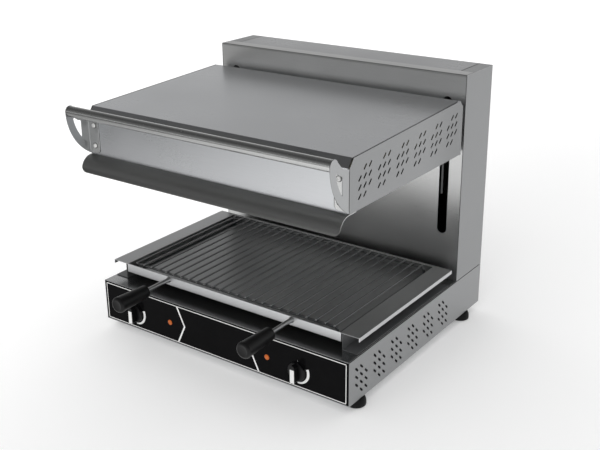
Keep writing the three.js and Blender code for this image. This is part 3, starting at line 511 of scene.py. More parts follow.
def soften(mesh, width, segments=2, angle=30):
    """Rounds the sharp edges of a closed mesh a little, so that they catch the light."""
    limit = math.radians(angle)
    edges = [e for e in mesh.edges if e.is_manifold and e.calc_face_angle(0) > limit]
    bmesh.ops.bevel(mesh, geom=edges, offset=width, offset_type="OFFSET", segments=segments,
                    profile=0.6, affect="EDGES", clamp_overlap=True)
    return mesh


def ring_faces(mesh, rings):
    """Joins rings of as many corners each into a band of faces."""
    for first, second in zip(rings, rings[1:]):
        for i in range(len(first)):
            j = (i + 1) % len(first)
            mesh.faces.new((first[i], first[j], second[j], second[i]))


def bent_sheet(line, thickness, x0, x1, bend, steps):
    """A sheet whose outer face follows a line of (y, z) points with rounded bends."""
    outer = rounded(line, bend, steps, closed=False)
    inner = []
    for i, point in enumerate(outer):
        along = Vector(outer[min(i + 1, len(outer) - 1)]) - Vector(outer[max(i - 1, 0)])
        across = Vector((along.y, -along.x)).normalized()
        inner.append(tuple(Vector(point) + across * thickness))
    mesh = bmesh.new()
    rows = []
    for x in (x0, x1):
        rows.append([mesh.verts.new((x, y, z)) for y, z in [*outer, *reversed(inner)]])
    ring_faces(mesh, rows)
    count = len(rows[0])
    for row in rows:
        for i in range(len(outer) - 1):
            mesh.faces.new((row[i], row[i + 1], row[count - 2 - i], row[count - 1 - i]))
    return mesh


SAME_PLACE = 1e-7


def circle(count):
    """The cosine and sine of angles spread evenly round a circle."""
    angles = [2 * math.pi * i / count for i in range(count)]
    return [(math.cos(angle), math.sin(angle)) for angle in angles]


def lathe(profile, segments, origin, axis="Y"):
    """Turns (radius, distance) pairs about an axis through origin."""
    mesh = bmesh.new()
    rings = []
    for radius, along in profile:
        points = circle(segments) if radius >= SAME_PLACE else [(0, 0)]
        places = [turned(radius * c, radius * s, along, axis) for c, s in points]
        rings.append([mesh.verts.new(Vector(origin) + place) for place in places])
    for first, second in zip(rings, rings[1:]):
        for i in range(segments):
            j = (i + 1) % segments
            corners = (first[i % len(first)], first[j % len(first)],
                       second[j % len(second)], second[i % len(second)])
            corners = list(dict.fromkeys(corners))
            if len(corners) > 2:
                mesh.faces.new(corners)
    first, last = rings[0], rings[-1]
    if len(first) > 1 and len(last) > 1 and (first[0].co - last[0].co).length < SAME_PLACE:
        bmesh.ops.remove_doubles(mesh, verts=[*first, *last], dist=SAME_PLACE)
    return mesh


def turned(a, b, along, axis):
    return Vector({"X": (along, a, b), "Y": (a, along, b), "Z": (a, b, along)}[axis])


TUBE_END_SHARE = 0.72
TUBE_END_LENGTH_SHARE = 0.3


def tube(points, radius, sides, round_ends=True):
    """A round bar along a list of points, with softly rounded ends."""
    path = [Vector(p) for p in points]
    last = len(path) - 1
    tangents = [(path[min(i + 1, last)] - path[max(i - 1, 0)]).normalized() for i in range(last + 1)]
    side = tangents[0].orthogonal().normalized()
    mesh = bmesh.new()
    rings = []
    stations = [(path[i], tangents[i], radius) for i in range(last + 1)]
    if round_ends:
        lead, tail = tangents[0], tangents[-1]
        end, length = radius * TUBE_END_SHARE, radius * TUBE_END_LENGTH_SHARE
        stations = [(path[0], lead, end), (path[0] + lead * length, lead, radius), *stations[1:-1],
                    (path[-1] - tail * length, tail, radius), (path[-1], tail, end)]
    for centre, along, size in stations:
        side = (side - along * side.dot(along)).normalized()
        other = along.cross(side)
        rings.append([mesh.verts.new(centre + (side * c + other * s) * size) for c, s in circle(sides)])
    ring_faces(mesh, rings)
    mesh.faces.new(rings[0])
    mesh.faces.new(rings[-1])
    return mesh


def refined(name, look, width, *nodes, segments=2):
    """Frame nodes whose shape is right, with flat faces joined and edges rounded, width in mm."""
    for one in nodes:
        mesh = bmesh.new()
        mesh.from_mesh(frame["nodes"][one].data)
        bmesh.ops.remove_doubles(mesh, verts=mesh.verts, dist=1e-6)
        bmesh.ops.dissolve_limit(mesh, angle_limit=math.radians(1), verts=mesh.verts, edges=mesh.edges)
        label = name if len(nodes) == 1 else f"{name}_{one.rsplit('_', 1)[-1]}"
        stand_in(label, soften(mesh, width * MM, segments), one, look)


def refined_pair(name, look, width, stem):
    refined(name, look, width, f"{stem}_left", f"{stem}_right")


# Outline of a screw head, as shares of its radius and rise
SCREW_SHARES = ((0, 0), (1, 0), (1, 0.25), (0.93, 0.55), (0.75, 0.85), (0.48, 1), (0.42, 1),
                (0.38, 0.45), (0, 0.4))


def screws(name, body, places, out, radius, rise):
    """Domed screw heads with sockets on a face; out is its direction."""
    turn = Vector(out).to_track_quat("Z", "Y").to_matrix().to_4x4()
    profile = [(radius * across, rise * up) for across, up in SCREW_SHARES]
    heads = []
    for place in places:
        head = lathe(profile, 24, (0, 0, 0), "Z")
        head.transform(Matrix.Translation(place) @ turn)
        heads.append(head)
    piece(name, joined(heads), body, "screw")


# Base and vents
VENT_PITCH = 15.7 * MM
VENT_CLUSTER_PITCH = 61 * MM
VENT_CLUSTERS = 6
VENT_COLUMNS = 3
VENT_ROWS = 4
VENT_LENGTH = 12.4 * MM
VENT_WIDTH = 3.9 * MM
VENT_LEAN = 45
BASE_VENT_MARGINS = (24 * MM, 17 * MM)
HOOD_VENT_MARGINS = (31.5 * MM, 22 * MM)
PANEL_SHEET = 0.7 * MM
JOINT_GAP = 0.9 * MM
CAP_GAP = 1.5 * MM

# Deck screws, in mm from the cabinet's middle and front, and the deck's height
DECK_SCREWS = ((-289, 148), (289, 148), (-289, 351), (289, 351), (-274, 36))
DECK_HEIGHT = 88


def vent_places(low, margins, leans_back, rise):
    """Middles of the slots: clusters that lack two corners, along a line that may rise."""
    last, top = VENT_COLUMNS - 1, VENT_ROWS - 1
    missing = ((0, top), (last, 0)) if leans_back else ((0, 0), (last, top))
    first, bottom = low.y + margins[0], low.z + margins[1]
    places = []
    for cluster in range(VENT_CLUSTERS):
        for column in range(VENT_COLUMNS):
            for row in range(VENT_ROWS):
                if (column, row) not in missing:
                    y = cluster * VENT_CLUSTER_PITCH + column * VENT_PITCH
                    places.append((first + y, bottom + row * VENT_PITCH + y * rise))
    return places


def slots(places, degrees):
    """Outlines of the punched slots, each with its upper end leaning back by an angle."""
    s, c = turns([degrees])[0]
    reach = (VENT_LENGTH - VENT_WIDTH) / 2
    ends = [*arc((reach, 0), VENT_WIDTH / 2, -90, 90, 5), *arc((-reach, 0), VENT_WIDTH / 2, 90, 270, 5)]
    return [[(y + u * c - v * s, z + u * s + v * c) for u, v in ends] for y, z in places]


def perforated_side(name, one, outline, holes, sign, look):
    """A thin side panel with its outer face at the cabinet's side."""
    low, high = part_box(one)
    face = high.x if sign > 0 else low.x
    stand_in(name, plate(outline, holes, facing_side(face, sign), PANEL_SHEET), one, look)


def make_base():
    for side, sign in SIDES:
        one = f"base_side_{side}"
        low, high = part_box(one)
        top = high.z - JOINT_GAP
        outline = [(low.y, low.z), (high.y, low.z), (high.y, top), (low.y, top)]
        holes = slots(vent_places(low, BASE_VENT_MARGINS, False, 0), -VENT_LEAN)
        perforated_side(f"base_side_panel_{side}", one, outline, holes, sign, "side")
    refined("deck", "deck", 0.5, "deck_plate")
    refined("base_pan", "plain", 0.3, "base_bottom_plate")
    refined("panel_frame", "plain", 0.3, "control_panel_frame")
    for end in ("front", "rear"):
        for side, _ in SIDES:
            make_foot(f"foot_{end}_{side}")
    places = [(x * MM, FRONT + y * MM, above(DECK_HEIGHT)) for x, y in DECK_SCREWS]
    screws("deck_screws", "root", places, (0, 0, 1), 2.6 * MM, 1.2 * MM)


def make_foot(one):
    """A rubber foot: flat sole, rounded rim, dome and stud."""
    low, high, centre, radius = round_box(one, "Z")
    centre.z = low.z
    sole, rim, crown = radius * 0.80, radius * 0.86, radius * 0.68
    edge, bulge, dome_start = 0.8 * MM, 2.6 * MM, 6 * MM
    stud = 3 * MM
    top = UNDERSIDE - low.z - 0.3 * MM
    profile = [(0, 0), (sole, 0), (rim, edge)]
    profile += [(rim + (radius - rim) * s, edge + bulge * (1 - c)) for s, c in turns((30, 60, 90))]
    profile += [(crown + (radius - crown) * c, dome_start + (top - dome_start) * s)
                for s, c in turns(range(15, 91, 15))]
    profile += [(stud, top), (stud, high.z - low.z), (0, high.z - low.z)]
    stand_in(f"rubber_{one}", lathe(profile, 48, centre, "Z"), one, "rubber")


# Control panel and the print on it
INK = 0.12 * MM
BORDER_LEFT, BORDER_RIGHT = -294.5 * MM, 293.5 * MM
BORDER_LOW, BORDER_HIGH = above(4.6), above(82.4)
BORDER_LINE = 1.5 * MM
CHEVRON_TIP, CHEVRON_TAIL = 82.2 * MM, 100.7 * MM
CHEVRON_MIDDLE = above(43.2)
CHEVRON_LINE = 3.4 * MM
LEAST_MITRE = 0.3


def strip(points, width):
    """A printed line along (x, z) points, as a thin raised strip in front of the panel."""
    path = [Vector(p) for p in points]
    left, right = [], []
    for i, here in enumerate(path):
        before = (here - path[i - 1]).normalized() if i else (path[1] - here).normalized()
        after = (path[i + 1] - here).normalized() if i + 1 < len(path) else before
        across = Vector((-before.y - after.y, before.x + after.x)).normalized()
        reach = width / 2 / max(LEAST_MITRE, across.dot(Vector((-before.y, before.x))))
        left.append(tuple(here + across * reach))
        right.append(tuple(here - across * reach))
    return plate([*left, *reversed(right)], [], facing_front(PANEL_FACE), INK)


def printed(name, parts):
    piece(name, joined(parts), "root", "ink")


def make_control_panel():
    refined("fascia", "gloss", 0.4, "control_panel_fascia")
    low, high = BORDER_LOW + BORDER_LINE / 2, BORDER_HIGH - BORDER_LINE / 2
    lines = [[(BORDER_LEFT, z), (BORDER_RIGHT, z)] for z in (BORDER_HIGH, BORDER_LOW)]
    lines += [[(x, low), (x, high)] for x in (BORDER_LEFT, BORDER_RIGHT)]
    printed("panel_border", [strip(line, BORDER_LINE) for line in lines])
    for side, sign in SIDES:
        points = [(sign * CHEVRON_TAIL, BORDER_HIGH), (sign * CHEVRON_TIP, CHEVRON_MIDDLE),
                  (sign * CHEVRON_TAIL, BORDER_LOW)]
        printed(f"panel_chevron_{side}", [strip(points, CHEVRON_LINE)])
    for side, _ in SIDES:
        make_knob(side)
        make_dial(side)
        make_lamp(side)


def make_lamp(side):
    """A pilot lamp: a low dome in a bezel in front of the panel, with its body behind."""
    one = f"pilot_lamp_{side}"
    low, high, centre, radius = round_box(one)
    face = PANEL_FACE - 0.3 * MM
    rise = face - low.y
    dome, bezel = 0.92, 0.1
    body = 4 * MM
    profile = [(0, low.y)]
    profile += [(radius * dome * s, face - rise * c * (1 - bezel) - rise * bezel)
                for s, c in turns(range(10, 91, 10))]
    profile += [(radius, face - rise * bezel), (radius, face), (body, face), (body, high.y), (0, high.y)]
    stand_in(f"lamp_{side}", lathe(profile, 36, centre), one, "amber")


KNOB_SKIRT = 6 * MM
KNOB_GRIP_LENGTH = 37 * MM
KNOB_GRIP_HALF = 5.5 * MM
KNOB_TAPER = 0.10
KNOB_MARK_HALF = 4.5 * MM
KNOB_MARK_TOP, KNOB_MARK_BOTTOM = 10 * MM, 16.6 * MM


def make_knob(side):
    """A knob with a round skirt, a straight grip across it and a white mark on the grip."""
    one = f"knob_{side}"
    low, high, centre, radius = round_box(one)
    back, front = high.y, low.y
    skirt = back - KNOB_SKIRT
    edge, corner, wall, neck = 0.6 * MM, 1.5 * MM, 3.2 * MM, 4 * MM
    profile = [(0, back), (radius - 0.5 * MM, back), (radius, back - edge), (radius, back - wall)]
    profile += [(radius - corner + corner * c, back - neck - (KNOB_SKIRT - neck) * s)
                for s, c in turns(range(0, 91, 15))]
    profile += [(radius * 0.6, skirt - 0.2 * MM), (0, skirt - 0.2 * MM)]
    end = KNOB_GRIP_LENGTH / 2 - KNOB_GRIP_HALF
    outline = [*arc((0, end), KNOB_GRIP_HALF, 0, 180, 14), *arc((0, -end), KNOB_GRIP_HALF, 180, 360, 14)]
    ridge = plate(outline, [], lambda u, v, w: Vector((centre.x + u, skirt - w, centre.z + v)), skirt - front)
    for vert in ridge.verts:
        share = (skirt - vert.co.y) / (skirt - front)
        vert.co.x = centre.x + (vert.co.x - centre.x) * (1 - KNOB_TAPER * share)
    soften(ridge, 1.2 * MM, 3, 50)
    stand_in(f"knob_body_{side}", joined([lathe(profile, 64, centre), ridge]), one, "knob")

    left, right = centre.x - KNOB_MARK_HALF, centre.x + KNOB_MARK_HALF
    top, bottom = centre.z + KNOB_MARK_TOP, centre.z - KNOB_MARK_BOTTOM
    outline = rounded([(left, bottom), (right, bottom), (right, top), (left, top)], 0.8 * MM, 3)
    sunk, raised = 0.3 * MM, 0.15 * MM
    mark = plate(outline, [], facing_front(front + sunk), sunk + raised)
    piece(f"knob_mark_{side}", mark, f"{side}_knob", "insert")


# Printed dial beside each knob: an arc that widens along its way, and a dot
DIAL_RADIUS = 23.2 * MM
DIAL_START, DIAL_END = -91, 24
DIAL_THIN, DIAL_GROWTH = 0.9, 2.1
DIAL_STEPS = 36
DOT_HEIGHT = 20.4 * MM
DOT_RADIUS = 0.6 * MM


def make_dial(side):
    centre = round_box(f"knob_{side}")[2]
    outer, inner = [], []
    for i, (x, z) in enumerate(arc((centre.x, centre.z), DIAL_RADIUS, DIAL_START, DIAL_END, DIAL_STEPS)):
        half = (DIAL_THIN + DIAL_GROWTH * math.sqrt(i / DIAL_STEPS)) * MM
        out = Vector((x - centre.x, z - centre.z)).normalized()
        outer.append((x + out.x * half, z + out.y * half))
        inner.append((x - out.x * half, z - out.y * half))
    band = plate([*outer, *reversed(inner)], [], facing_front(PANEL_FACE), INK)
    dot = plate(arc((centre.x, centre.z + DOT_HEIGHT), DOT_RADIUS, 0, 330, 11), [],
                facing_front(PANEL_FACE), INK)
    printed(f"dial_scale_{side}", [band, dot])


# Column
COLUMN_BEND = 2.2 * MM
SLOT_MIDDLE = 261 * MM
SLOT_HALF = 10.25 * MM
SLOT_LOW, SLOT_HIGH = above(186), above(468.5)

# Screws of the rear cover, as shares of its width and height
SCREW_ENDS = (0.03, 0.97)
SCREW_COLUMNS = (0.03, 0.35, 0.65, 0.97)
SCREW_ROWS = (0.27, 0.5, 0.73)


def make_column():
    low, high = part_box("column_front_panel")
    holes = []
    for _, sign in SIDES:
        x = sign * SLOT_MIDDLE
        holes.append([*arc((x, SLOT_HIGH - SLOT_HALF), SLOT_HALF, 0, 180, 20),
                      *arc((x, SLOT_LOW + SLOT_HALF), SLOT_HALF, 180, 360, 20)])
    face_top = high.z - COLUMN_BEND
    outline = [(low.x, low.z), (high.x, low.z), (high.x, face_top), (low.x, face_top)]
    face = plate(outline, holes, facing_front(low.y, 1), SHEET)
    line = [(low.y, face_top), (low.y, high.z), (high.y, high.z)]
    edge = bent_sheet(line, SHEET, low.x, high.x, COLUMN_BEND, 6)
    stand_in("column_front", joined([face, edge]), "column_front_panel", "column")
    refined_pair("column_side_panel", "post", 0.5, "column_side")

    low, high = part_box("column_top_cap")
    left, right = low.x + CAP_GAP, high.x - CAP_GAP
    cap = plate([(left, low.y), (right, low.y), (right, high.y), (left, high.y)], [],
                lambda u, v, w: Vector((u, v, high.z - w)), high.z - low.z)
    stand_in("column_cap", soften(cap, 0.4 * MM), "column_top_cap", "cap")

    refined("back_cover", "post", 0.35, "rear_cover")
    low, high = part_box("rear_cover")
    shares = [(x, z) for x in SCREW_COLUMNS for z in SCREW_ENDS]
    shares += [(x, z) for x in SCREW_ENDS for z in SCREW_ROWS]
    places = [(low.x + (high.x - low.x) * x, high.y, low.z + (high.z - low.z) * z) for x, z in shares]
    screws("back_cover_screws", "root", places, (0, 1, 0), 3.4 * MM, 1.6 * MM)
    make_gland()


def make_gland():
    """A cable gland: a nut inside the wall, a neck through it and a tapered cap outside."""
    low, high, centre, radius = round_box("cable_gland")
    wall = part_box("rear_cover")[1].y
    bore, neck = 4.8 * MM, 8 * MM
    gap, edge, rim = 0.3 * MM, 0.8 * MM, 0.6 * MM
    collar, shoulder, step = 2.6 * MM, 3.4 * MM, 1.6 * MM
    waist, crown = 1.8 * MM, 3.2 * MM
    inner, outer = wall - SHEET - gap, wall + gap
    profile = [
        (bore, low.y), (radius - edge, low.y), (radius, low.y + edge), (radius, inner), (neck, inner),
        (neck, outer), (radius, outer), (radius, wall + collar), (radius - step, wall + shoulder),
        (radius - waist, high.y - step), (radius - crown, high.y), (bore + rim, high.y),
        (bore, high.y - rim), (bore, low.y)]
    stand_in("gland", lathe(profile, 40, centre), "cable_gland", "grip")


# Hood
HOOD_FRONT_HEIGHT = 78 * MM
CHAMFER_DEPTH, CHAMFER_HEIGHT = 12.5 * MM, 15 * MM
REAR_CHAMFER = 12.5 * MM
REAR_FLANGE = 14 * MM


def make_hood_shell():
    low, high = SHELL_LOW, SHELL_HIGH
    front_top = low.z + HOOD_FRONT_HEIGHT
    rear_corner = high.z - REAR_CHAMFER
    line = [
        (low.y, low.z), (low.y, front_top), (low.y + CHAMFER_DEPTH, front_top + CHAMFER_HEIGHT),
        (high.y - REAR_CHAMFER, high.z), (high.y, rear_corner), (high.y, rear_corner - REAR_FLANGE)]
    shell = bent_sheet(line, SHEET, low.x + JOINT_GAP, high.x - JOINT_GAP, 1.6 * MM, 5)
    stand_in("hood_shell", shell, "hood_top_shell", "top")
    edge = low.y + JOINT_GAP
    outline = [(edge, low.z), (edge, front_top), *line[2:5], (high.y, low.z)]
    rise = (line[3][1] - line[2][1]) / (line[3][0] - line[2][0])
    holes = slots(vent_places(low, HOOD_VENT_MARGINS, True, rise), VENT_LEAN)
    for side, sign in SIDES:
        perforated_side(f"hood_side_panel_{side}", f"hood_side_{side}", outline, holes, sign, "hood_side")
    refined("hood_back", "plain", 0.3, "hood_rear_panel")


LIP_RADIUS = 28 * MM
LIP_CORNER = 12 * MM
LIP_ARC_STEPS = 22
LIP_CORNER_STEPS = 12


def make_front_lip():
    """A quarter-round lip with rounded lower corners."""
    low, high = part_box("front_lip")
    top, bottom = high.z, low.z
    centre = (low.y + LIP_RADIUS, top - LIP_RADIUS)
    skins = (LIP_RADIUS, LIP_RADIUS - SHEET)

    def face(z, size):
        """Where a skin of the lip lies at a height: on its arc, or straight below the arc's centre."""
        return centre[0] - math.sqrt(size ** 2 - max(0.0, z - centre[1]) ** 2)

    def reach(z):
        """Half the width at a height: the lower corners are rounded."""
        drop = min(LIP_CORNER, max(0.0, bottom + LIP_CORNER - z))
        return high.x - LIP_CORNER + math.sqrt(LIP_CORNER ** 2 - drop ** 2)

    last = 180 - math.degrees(math.asin((bottom + LIP_CORNER - centre[1]) / LIP_RADIUS))
    stations = [((high.y, top), (high.y, top - SHEET))]
    stations += zip(*(arc(centre, size, 90, last, LIP_ARC_STEPS) for size in skins))
    for step in range(1, LIP_CORNER_STEPS + 1):
        z = bottom + LIP_CORNER * (1 - math.sin(math.radians(90 * step / LIP_CORNER_STEPS)))
        stations.append([(face(z, size), z) for size in skins])
    mesh = bmesh.new()
    rings = []
    for outer, inner in stations:
        half = reach(outer[1])
        corners = ((-half, *outer), (half, *outer), (half, *inner), (-half, *inner))
        rings.append([mesh.verts.new(corner) for corner in corners])
    ring_faces(mesh, rings)
    mesh.faces.new(rings[0])
    mesh.faces.new(rings[-1])
    stand_in("hood_lip", mesh, "front_lip", "lip")


def make_handle():
    low, high, centre, radius = round_box("handle_bar", "X")
    bore = radius - 1.5 * MM
    edge = 0.4 * MM
    profile = [
        (bore, low.x), (radius - edge, low.x), (radius, low.x + edge), (radius, high.x - edge),
        (radius - edge, high.x), (bore, high.x), (bore, low.x)]
    stand_in("handle_tube", lathe(profile, 72, centre, "X"), "handle_bar", "bar")
    for side, sign in SIDES:
        make_ear(side, sign, (low.y + high.y) / 2, (low.z + high.z) / 2, radius)


# Sweep of the ears' front edge, width of their band round the finger hole, and their shoulder
EAR_SWEEP = 105.5 * MM
EAR_BAND = 15 * MM
EAR_SHOULDER = above(440)
EAR_CAP = 0.6 * MM
FLANGE_LOW, FLANGE_HIGH = above(366), above(436)
FLANGE_CORNER = 8 * MM

# Width of the dark strip that shows beside each ear's flange as a painted shadow line, and its screws'
# distance from the side
EAR_SHADOW_LINE = {"left": JOINT_GAP / 2, "right": 1.8 * MM}
EAR_SCREW_INSET = {"left": 16 * MM, "right": 18.5 * MM}
EAR_SCREW_HEIGHTS = (above(421), above(380.5))


def ear_outline(back, bar_y, bar_z, cap, sweep_y):
    """From the foot of the swept front edge, over the bar's end and down to the shoulder."""
    start = direction_angle(back - sweep_y, -math.sqrt(EAR_SWEEP ** 2 - (sweep_y - back) ** 2))
    notch = (bar_y + 20.9 * MM, bar_z - 7.2 * MM)
    slope = [notch, (notch[0] + 5 * MM, notch[1] - 4 * MM), (FRONT - 10 * MM, EAR_SHOULDER)]
    return [
        *arc((sweep_y, bar_z), EAR_SWEEP, start, 180, 26),
        *arc((bar_y, bar_z), cap, 180, 22, 20)[1:],
        *rounded(slope, 6 * MM, 4, False), (back, EAR_SHOULDER)]


def ear_hole(bar_z, sweep_y):
    """The finger hole, which follows the sweep and has a straight rear edge."""
    inner = EAR_SWEEP - EAR_BAND
    drop, tip_round = 17 * MM, 3 * MM
    hole_back = FRONT - 25 * MM
    tip = -math.sqrt(inner ** 2 - (sweep_y - hole_back) ** 2)
    start = direction_angle(-math.sqrt(inner ** 2 - drop ** 2), -drop)
    end = direction_angle(hole_back - tip_round - sweep_y, tip + tip_round)
    tip_z = bar_z + tip
    rear = [(hole_back, tip_z + 8 * MM), (hole_back, above(433)), (hole_back - 8 * MM, above(435.5))]
    return [
        *arc((sweep_y, bar_z), inner, start, end, 18),
        (hole_back - 0.8 * MM, tip_z + 1.6 * MM), (hole_back, tip_z + 5 * MM),
        *rounded(rear, 3 * MM, 6, False)[1:],
        (sweep_y - inner + 5 * MM, above(441.5)), (sweep_y - inner + 2.4 * MM, above(441))]


def flange_outline(face, inner_x, low, high, corner):
    """A rectangle with nearly sharp corners at the ear and round ones at its inner edge."""
    sharp = 0.5 * MM
    points = [(face, low), (face, high), (inner_x, high), (inner_x, low)]
    return rounded(points, [sharp, sharp, corner, corner], 8)


def make_ear(side, sign, bar_y, bar_z, bar_radius):
    """A plate ear with a finger hole and a screwed flange, round the end of the bar."""
    one = f"handle_ear_{side}"
    low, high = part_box(one)
    back = high.y
    face, inner_x = (high.x, low.x) if sign > 0 else (low.x, high.x)
    cap = bar_radius + EAR_CAP
    sweep_y = bar_y - cap + EAR_SWEEP
    outline = ear_outline(back, bar_y, bar_z, cap, sweep_y)
    mesh = plate(outline, [ear_hole(bar_z, sweep_y)], facing_side(face, sign), SHEET)
    stand_in(f"ear_plate_{side}", soften(mesh, 0.35 * MM, 2, 50), one, "ear")

    outline = flange_outline(face, inner_x, FLANGE_LOW, FLANGE_HIGH, FLANGE_CORNER)
    flange = plate(outline, [], facing_front(back), SHEET)
    stand_in(f"ear_flange_{side}", soften(flange, 0.5 * MM, 2, 50), one, "flange")

    bend = 2 * MM
    x, y = face - sign * SHEET, back - SHEET
    fold = [(x, y), (x - sign * bend, y)]
    fold += [(x - sign * bend * (1 - s), y - bend * (1 - c)) for s, c in turns(range(15, 90, 15))]
    fold.append((x, y - bend))
    fillet = plate(fold, [], lambda u, v, w: Vector((u, v, FLANGE_LOW + w)), FLANGE_HIGH - FLANGE_LOW)
    piece(f"ear_fold_{side}", fillet, "hood", "ear")

    # A dark rubber sheet a little larger than the flange, showing round it as a painted shadow line, and
    # rubber washers under the screws
    grown, depth = JOINT_GAP / 2, 0.2 * MM
    outline = flange_outline(face, inner_x - sign * EAR_SHADOW_LINE[side], FLANGE_LOW - grown,
                             FLANGE_HIGH + grown, FLANGE_CORNER + 1 * MM)
    shadow_line_and_washers = [plate(outline, [], facing_front(back + depth), depth)]
    washer, thickness = 5.6 * MM, 0.3 * MM
    disc = [(0, 0), (washer, 0), (washer, -thickness), (0, -thickness)]
    x = face - sign * EAR_SCREW_INSET[side]
    places = [Vector((x, back - SHEET, height)) for height in EAR_SCREW_HEIGHTS]
    shadow_line_and_washers += [lathe(disc, 32, place) for place in places]
    piece(f"ear_shadow_line_and_washers_{side}", joined(shadow_line_and_washers), "hood", "rubber")
    places = [place - Vector((0, thickness, 0)) for place in places]
    screws(f"ear_screws_{side}", "hood", places, (0, -1, 0), 4.7 * MM, 2.5 * MM)


# Heating elements: looped rods with both tails at the back
TAIL_LENGTH = 67.5 * MM
PASSES = 4
TURN_STEPS = 16


def make_heating():
    refined("reflector", "polished", 0.5, "heat_reflector")
    refined("element_rail", "plain", 0.4, "element_support_1", "element_support_2")
    for side, sign in SIDES:
        one = f"heating_element_{side}"
        low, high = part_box(one)
        radius = (high.z - low.z) / 2
        z = (high.z + low.z) / 2
        first = min(abs(low.x), abs(high.x)) + radius
        last = max(abs(low.x), abs(high.x)) - radius
        pitch = (last - first) / (PASSES - 1)
        turn = pitch / 2
        front = low.y + radius + turn
        rear = high.y - TAIL_LENGTH
        points = element_path([first + i * pitch for i in range(PASSES)], front, rear, high.y, turn)
        mesh = tube([(sign * x, y, z) for x, y in points], radius, 16)
        stand_in(f"element_{side}", mesh, one, "sheath")


def element_path(passes, front, rear, tail, turn):
    """Straight passes joined by half turns."""
    points = [(passes[0], tail)]
    for i, (x, following) in enumerate(zip(passes, passes[1:])):
        goes_forward = i % 2 == 0
        end = front if goes_forward else rear
        points.append((x, end))
        middle = (x + following) / 2
        for step in range(1, TURN_STEPS + 1):
            angle = math.pi * step / TURN_STEPS
            bulge = -math.sin(angle) if goes_forward else math.sin(angle)
            points.append((middle - turn * math.cos(angle), end + turn * bulge))
    points.append((passes[-1], tail))
    return points


# Tray and rack
HANDLE_CLEARANCE = 0.3 * MM
GRIP_SMALL_END = 12.7 * MM
GRIP_NOSE = 5 * MM
GRIP_BORE_START = 16.5 * MM
GRIP_SHARES = (0.12, 0.3, 0.5, 0.7, 0.85, 0.95)
GRIP_SWELL = 0.92


def make_tray():
    refined("tray", "tray", 0.5, "drip_tray", segments=3)
    refined_pair("tray_slide_rail", "rail", 0.35, "tray_rail")
    for side, _ in SIDES:
        make_tray_handle(side)


def make_tray_handle(side):
    """A rod with a collar at the tray, and a tapered grip with a dished end."""
    rod = f"tray_handle_rod_{side}"
    low, high, centre, radius = round_box(rod)
    collar = radius * 1.3
    neck = high.y - 5 * MM
    profile = [(0, low.y), (radius, low.y), (radius, neck)]
    profile += [(radius + (collar - radius) * (1 - c), neck + 3.6 * MM * s)
                for s, c in turns(range(0, 91, 18))]
    profile += [(collar, high.y), (0, high.y)]
    stand_in(f"handle_rod_{side}", lathe(profile, 32, centre), rod, "rod")

    one = f"tray_grip_{side}"
    low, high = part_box(one)
    big = (high.x - low.x) / 2
    bore = radius + HANDLE_CLEARANCE
    dish, rim, edge = 2.4 * MM, 1.2 * MM, 0.8 * MM
    shoulder = big - GRIP_NOSE
    profile = [(0, low.y + 1.0 * MM), (shoulder - dish, low.y + edge), (shoulder - rim, low.y)]
    profile += [(shoulder + GRIP_NOSE * s, low.y + GRIP_NOSE * (1 - c)) for s, c in turns(range(0, 91, 10))]
    length = high.y - low.y - GRIP_NOSE
    for share in GRIP_SHARES:
        taper = (GRIP_SMALL_END - big) * (share ** GRIP_SWELL)
        profile.append((big + taper, low.y + GRIP_NOSE + length * share))
    bottom = low.y + GRIP_BORE_START
    profile += [(GRIP_SMALL_END, high.y - edge), (GRIP_SMALL_END - edge, high.y), (bore, high.y),
                (bore, bottom), (0, bottom)]
    stand_in(f"grip_{side}", lathe(profile, 56, centre), one, "grip")


WIRE_RADIUS = 1.9 * MM
CROSS_RADIUS = 2.5 * MM
WIRE_PITCH = 20.2 * MM
WIRES_EACH_SIDE = 12
WIRE_TIP = 2.2 * MM
CROSS_BEND = 6 * MM
CROSS_INSET = 6.5 * MM
WIRE_SIDES = 14


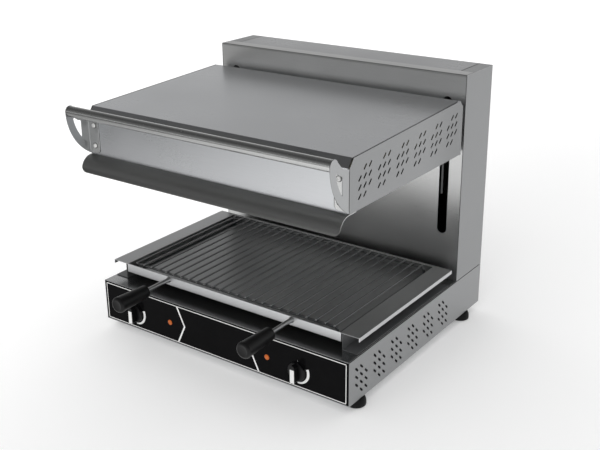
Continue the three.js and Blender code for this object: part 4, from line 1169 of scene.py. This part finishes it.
def make_rack():
    wire_z = RACK_HIGH.z - WIRE_RADIUS
    cross_z = RACK_LOW.z + CROSS_RADIUS
    front, rear = RACK_LOW.y, RACK_HIGH.y
    first, last = front + WIRE_TIP, rear - WIRE_TIP
    parts = []
    tips = []
    for i in range(-WIRES_EACH_SIDE, WIRES_EACH_SIDE + 1):
        x = i * WIRE_PITCH
        for group, start, end, round_ends in (
                (parts, first, last, False), (tips, front, first, True), (tips, last, rear, True)):
            group.append(tube([(x, start, wire_z), (x, end, wire_z)], WIRE_RADIUS, WIRE_SIDES, round_ends))
    half = RACK_HIGH.x - CROSS_RADIUS
    foot = RUNNER_BOTTOM + 2 * CROSS_RADIUS
    bend_z = cross_z - CROSS_BEND
    line = [(-half, foot), *arc((-half + CROSS_BEND, bend_z), CROSS_BEND, 180, 90, 6),
            *arc((half - CROSS_BEND, bend_z), CROSS_BEND, 90, 0, 6), (half, foot)]
    for y in (front + CROSS_INSET, rear - CROSS_INSET):
        parts.append(tube([(x, y, z) for x, z in line], CROSS_RADIUS, WIRE_SIDES, False))
    stand_in("rack_wires", joined(parts), "wire_rack", "wire")
    # The wire tips take the lighter bright steel, as painted highlights on the ends of the same wires
    piece("rack_wire_tips", joined(tips), "rack", "bright")
    for side, _ in SIDES:
        one = f"rack_runner_{side}"
        low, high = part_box(one)
        x = (low.x + high.x) / 2
        z = low.z + CROSS_RADIUS
        mesh = tube([(x, low.y, z), (x, high.y, z)], CROSS_RADIUS, WIRE_SIDES)
        stand_in(f"rack_foot_rod_{side}", mesh, one, "wire")


# Mechanism inside the column, and what the base and the hood hold
STRUT_BORE = 4.5 * MM
STRUT_FLOOR = 3 * MM


def make_mechanism():
    refined("guide_bracket_low", "plain", 0.4, "guide_bracket_bottom")
    refined("guide_bracket_high", "plain", 0.4, "guide_bracket_top")
    refined_pair("lift_arm_plate", "arm", 0.4, "lift_arm")
    refined("carriage", "plain", 0.4, "carriage_beam")
    refined_pair("bush", "brass", 0.8, "guide_bush")
    for side, _ in SIDES:
        for one, edge in ((f"guide_rod_{side}", 1.0 * MM), (f"gas_strut_rod_{side}", 0.8 * MM)):
            low, high, centre, radius = round_box(one, "Z")
            profile = [(0, low.z), (radius - edge, low.z), (radius, low.z + edge),
                       (radius, high.z - edge), (radius - edge, high.z), (0, high.z)]
            stand_in(f"round_{one}", lathe(profile, 32, centre, "Z"), one, "bright")
        one = f"gas_strut_cylinder_{side}"
        low, high, centre, radius = round_box(one, "Z")
        foot, head = 1 * MM, 2 * MM
        profile = [(0, low.z), (radius - foot, low.z), (radius, low.z + foot), (radius, high.z - head),
                   (radius - head, high.z), (STRUT_BORE, high.z), (STRUT_BORE, low.z + STRUT_FLOOR),
                   (0, low.z + STRUT_FLOOR)]
        stand_in(f"round_{one}", lathe(profile, 36, centre, "Z"), one, "knob")
    refined_pair("regulator_body", "cream", 0.8, "regulator")
    refined("terminals", "cream", 0.5, "terminal_block")
    refined("insulation", "wool", 2.5, "insulation_pad", segments=3)


make_camera()
make_world()
make_lamps()
make_floor()
LOOKS = make_materials()
make_base()
make_control_panel()
make_column()
make_hood_shell()
make_front_lip()
make_handle()
make_heating()
make_tray()
make_rack()
make_mechanism()

bpy.context.scene.view_settings.view_transform = "Standard"
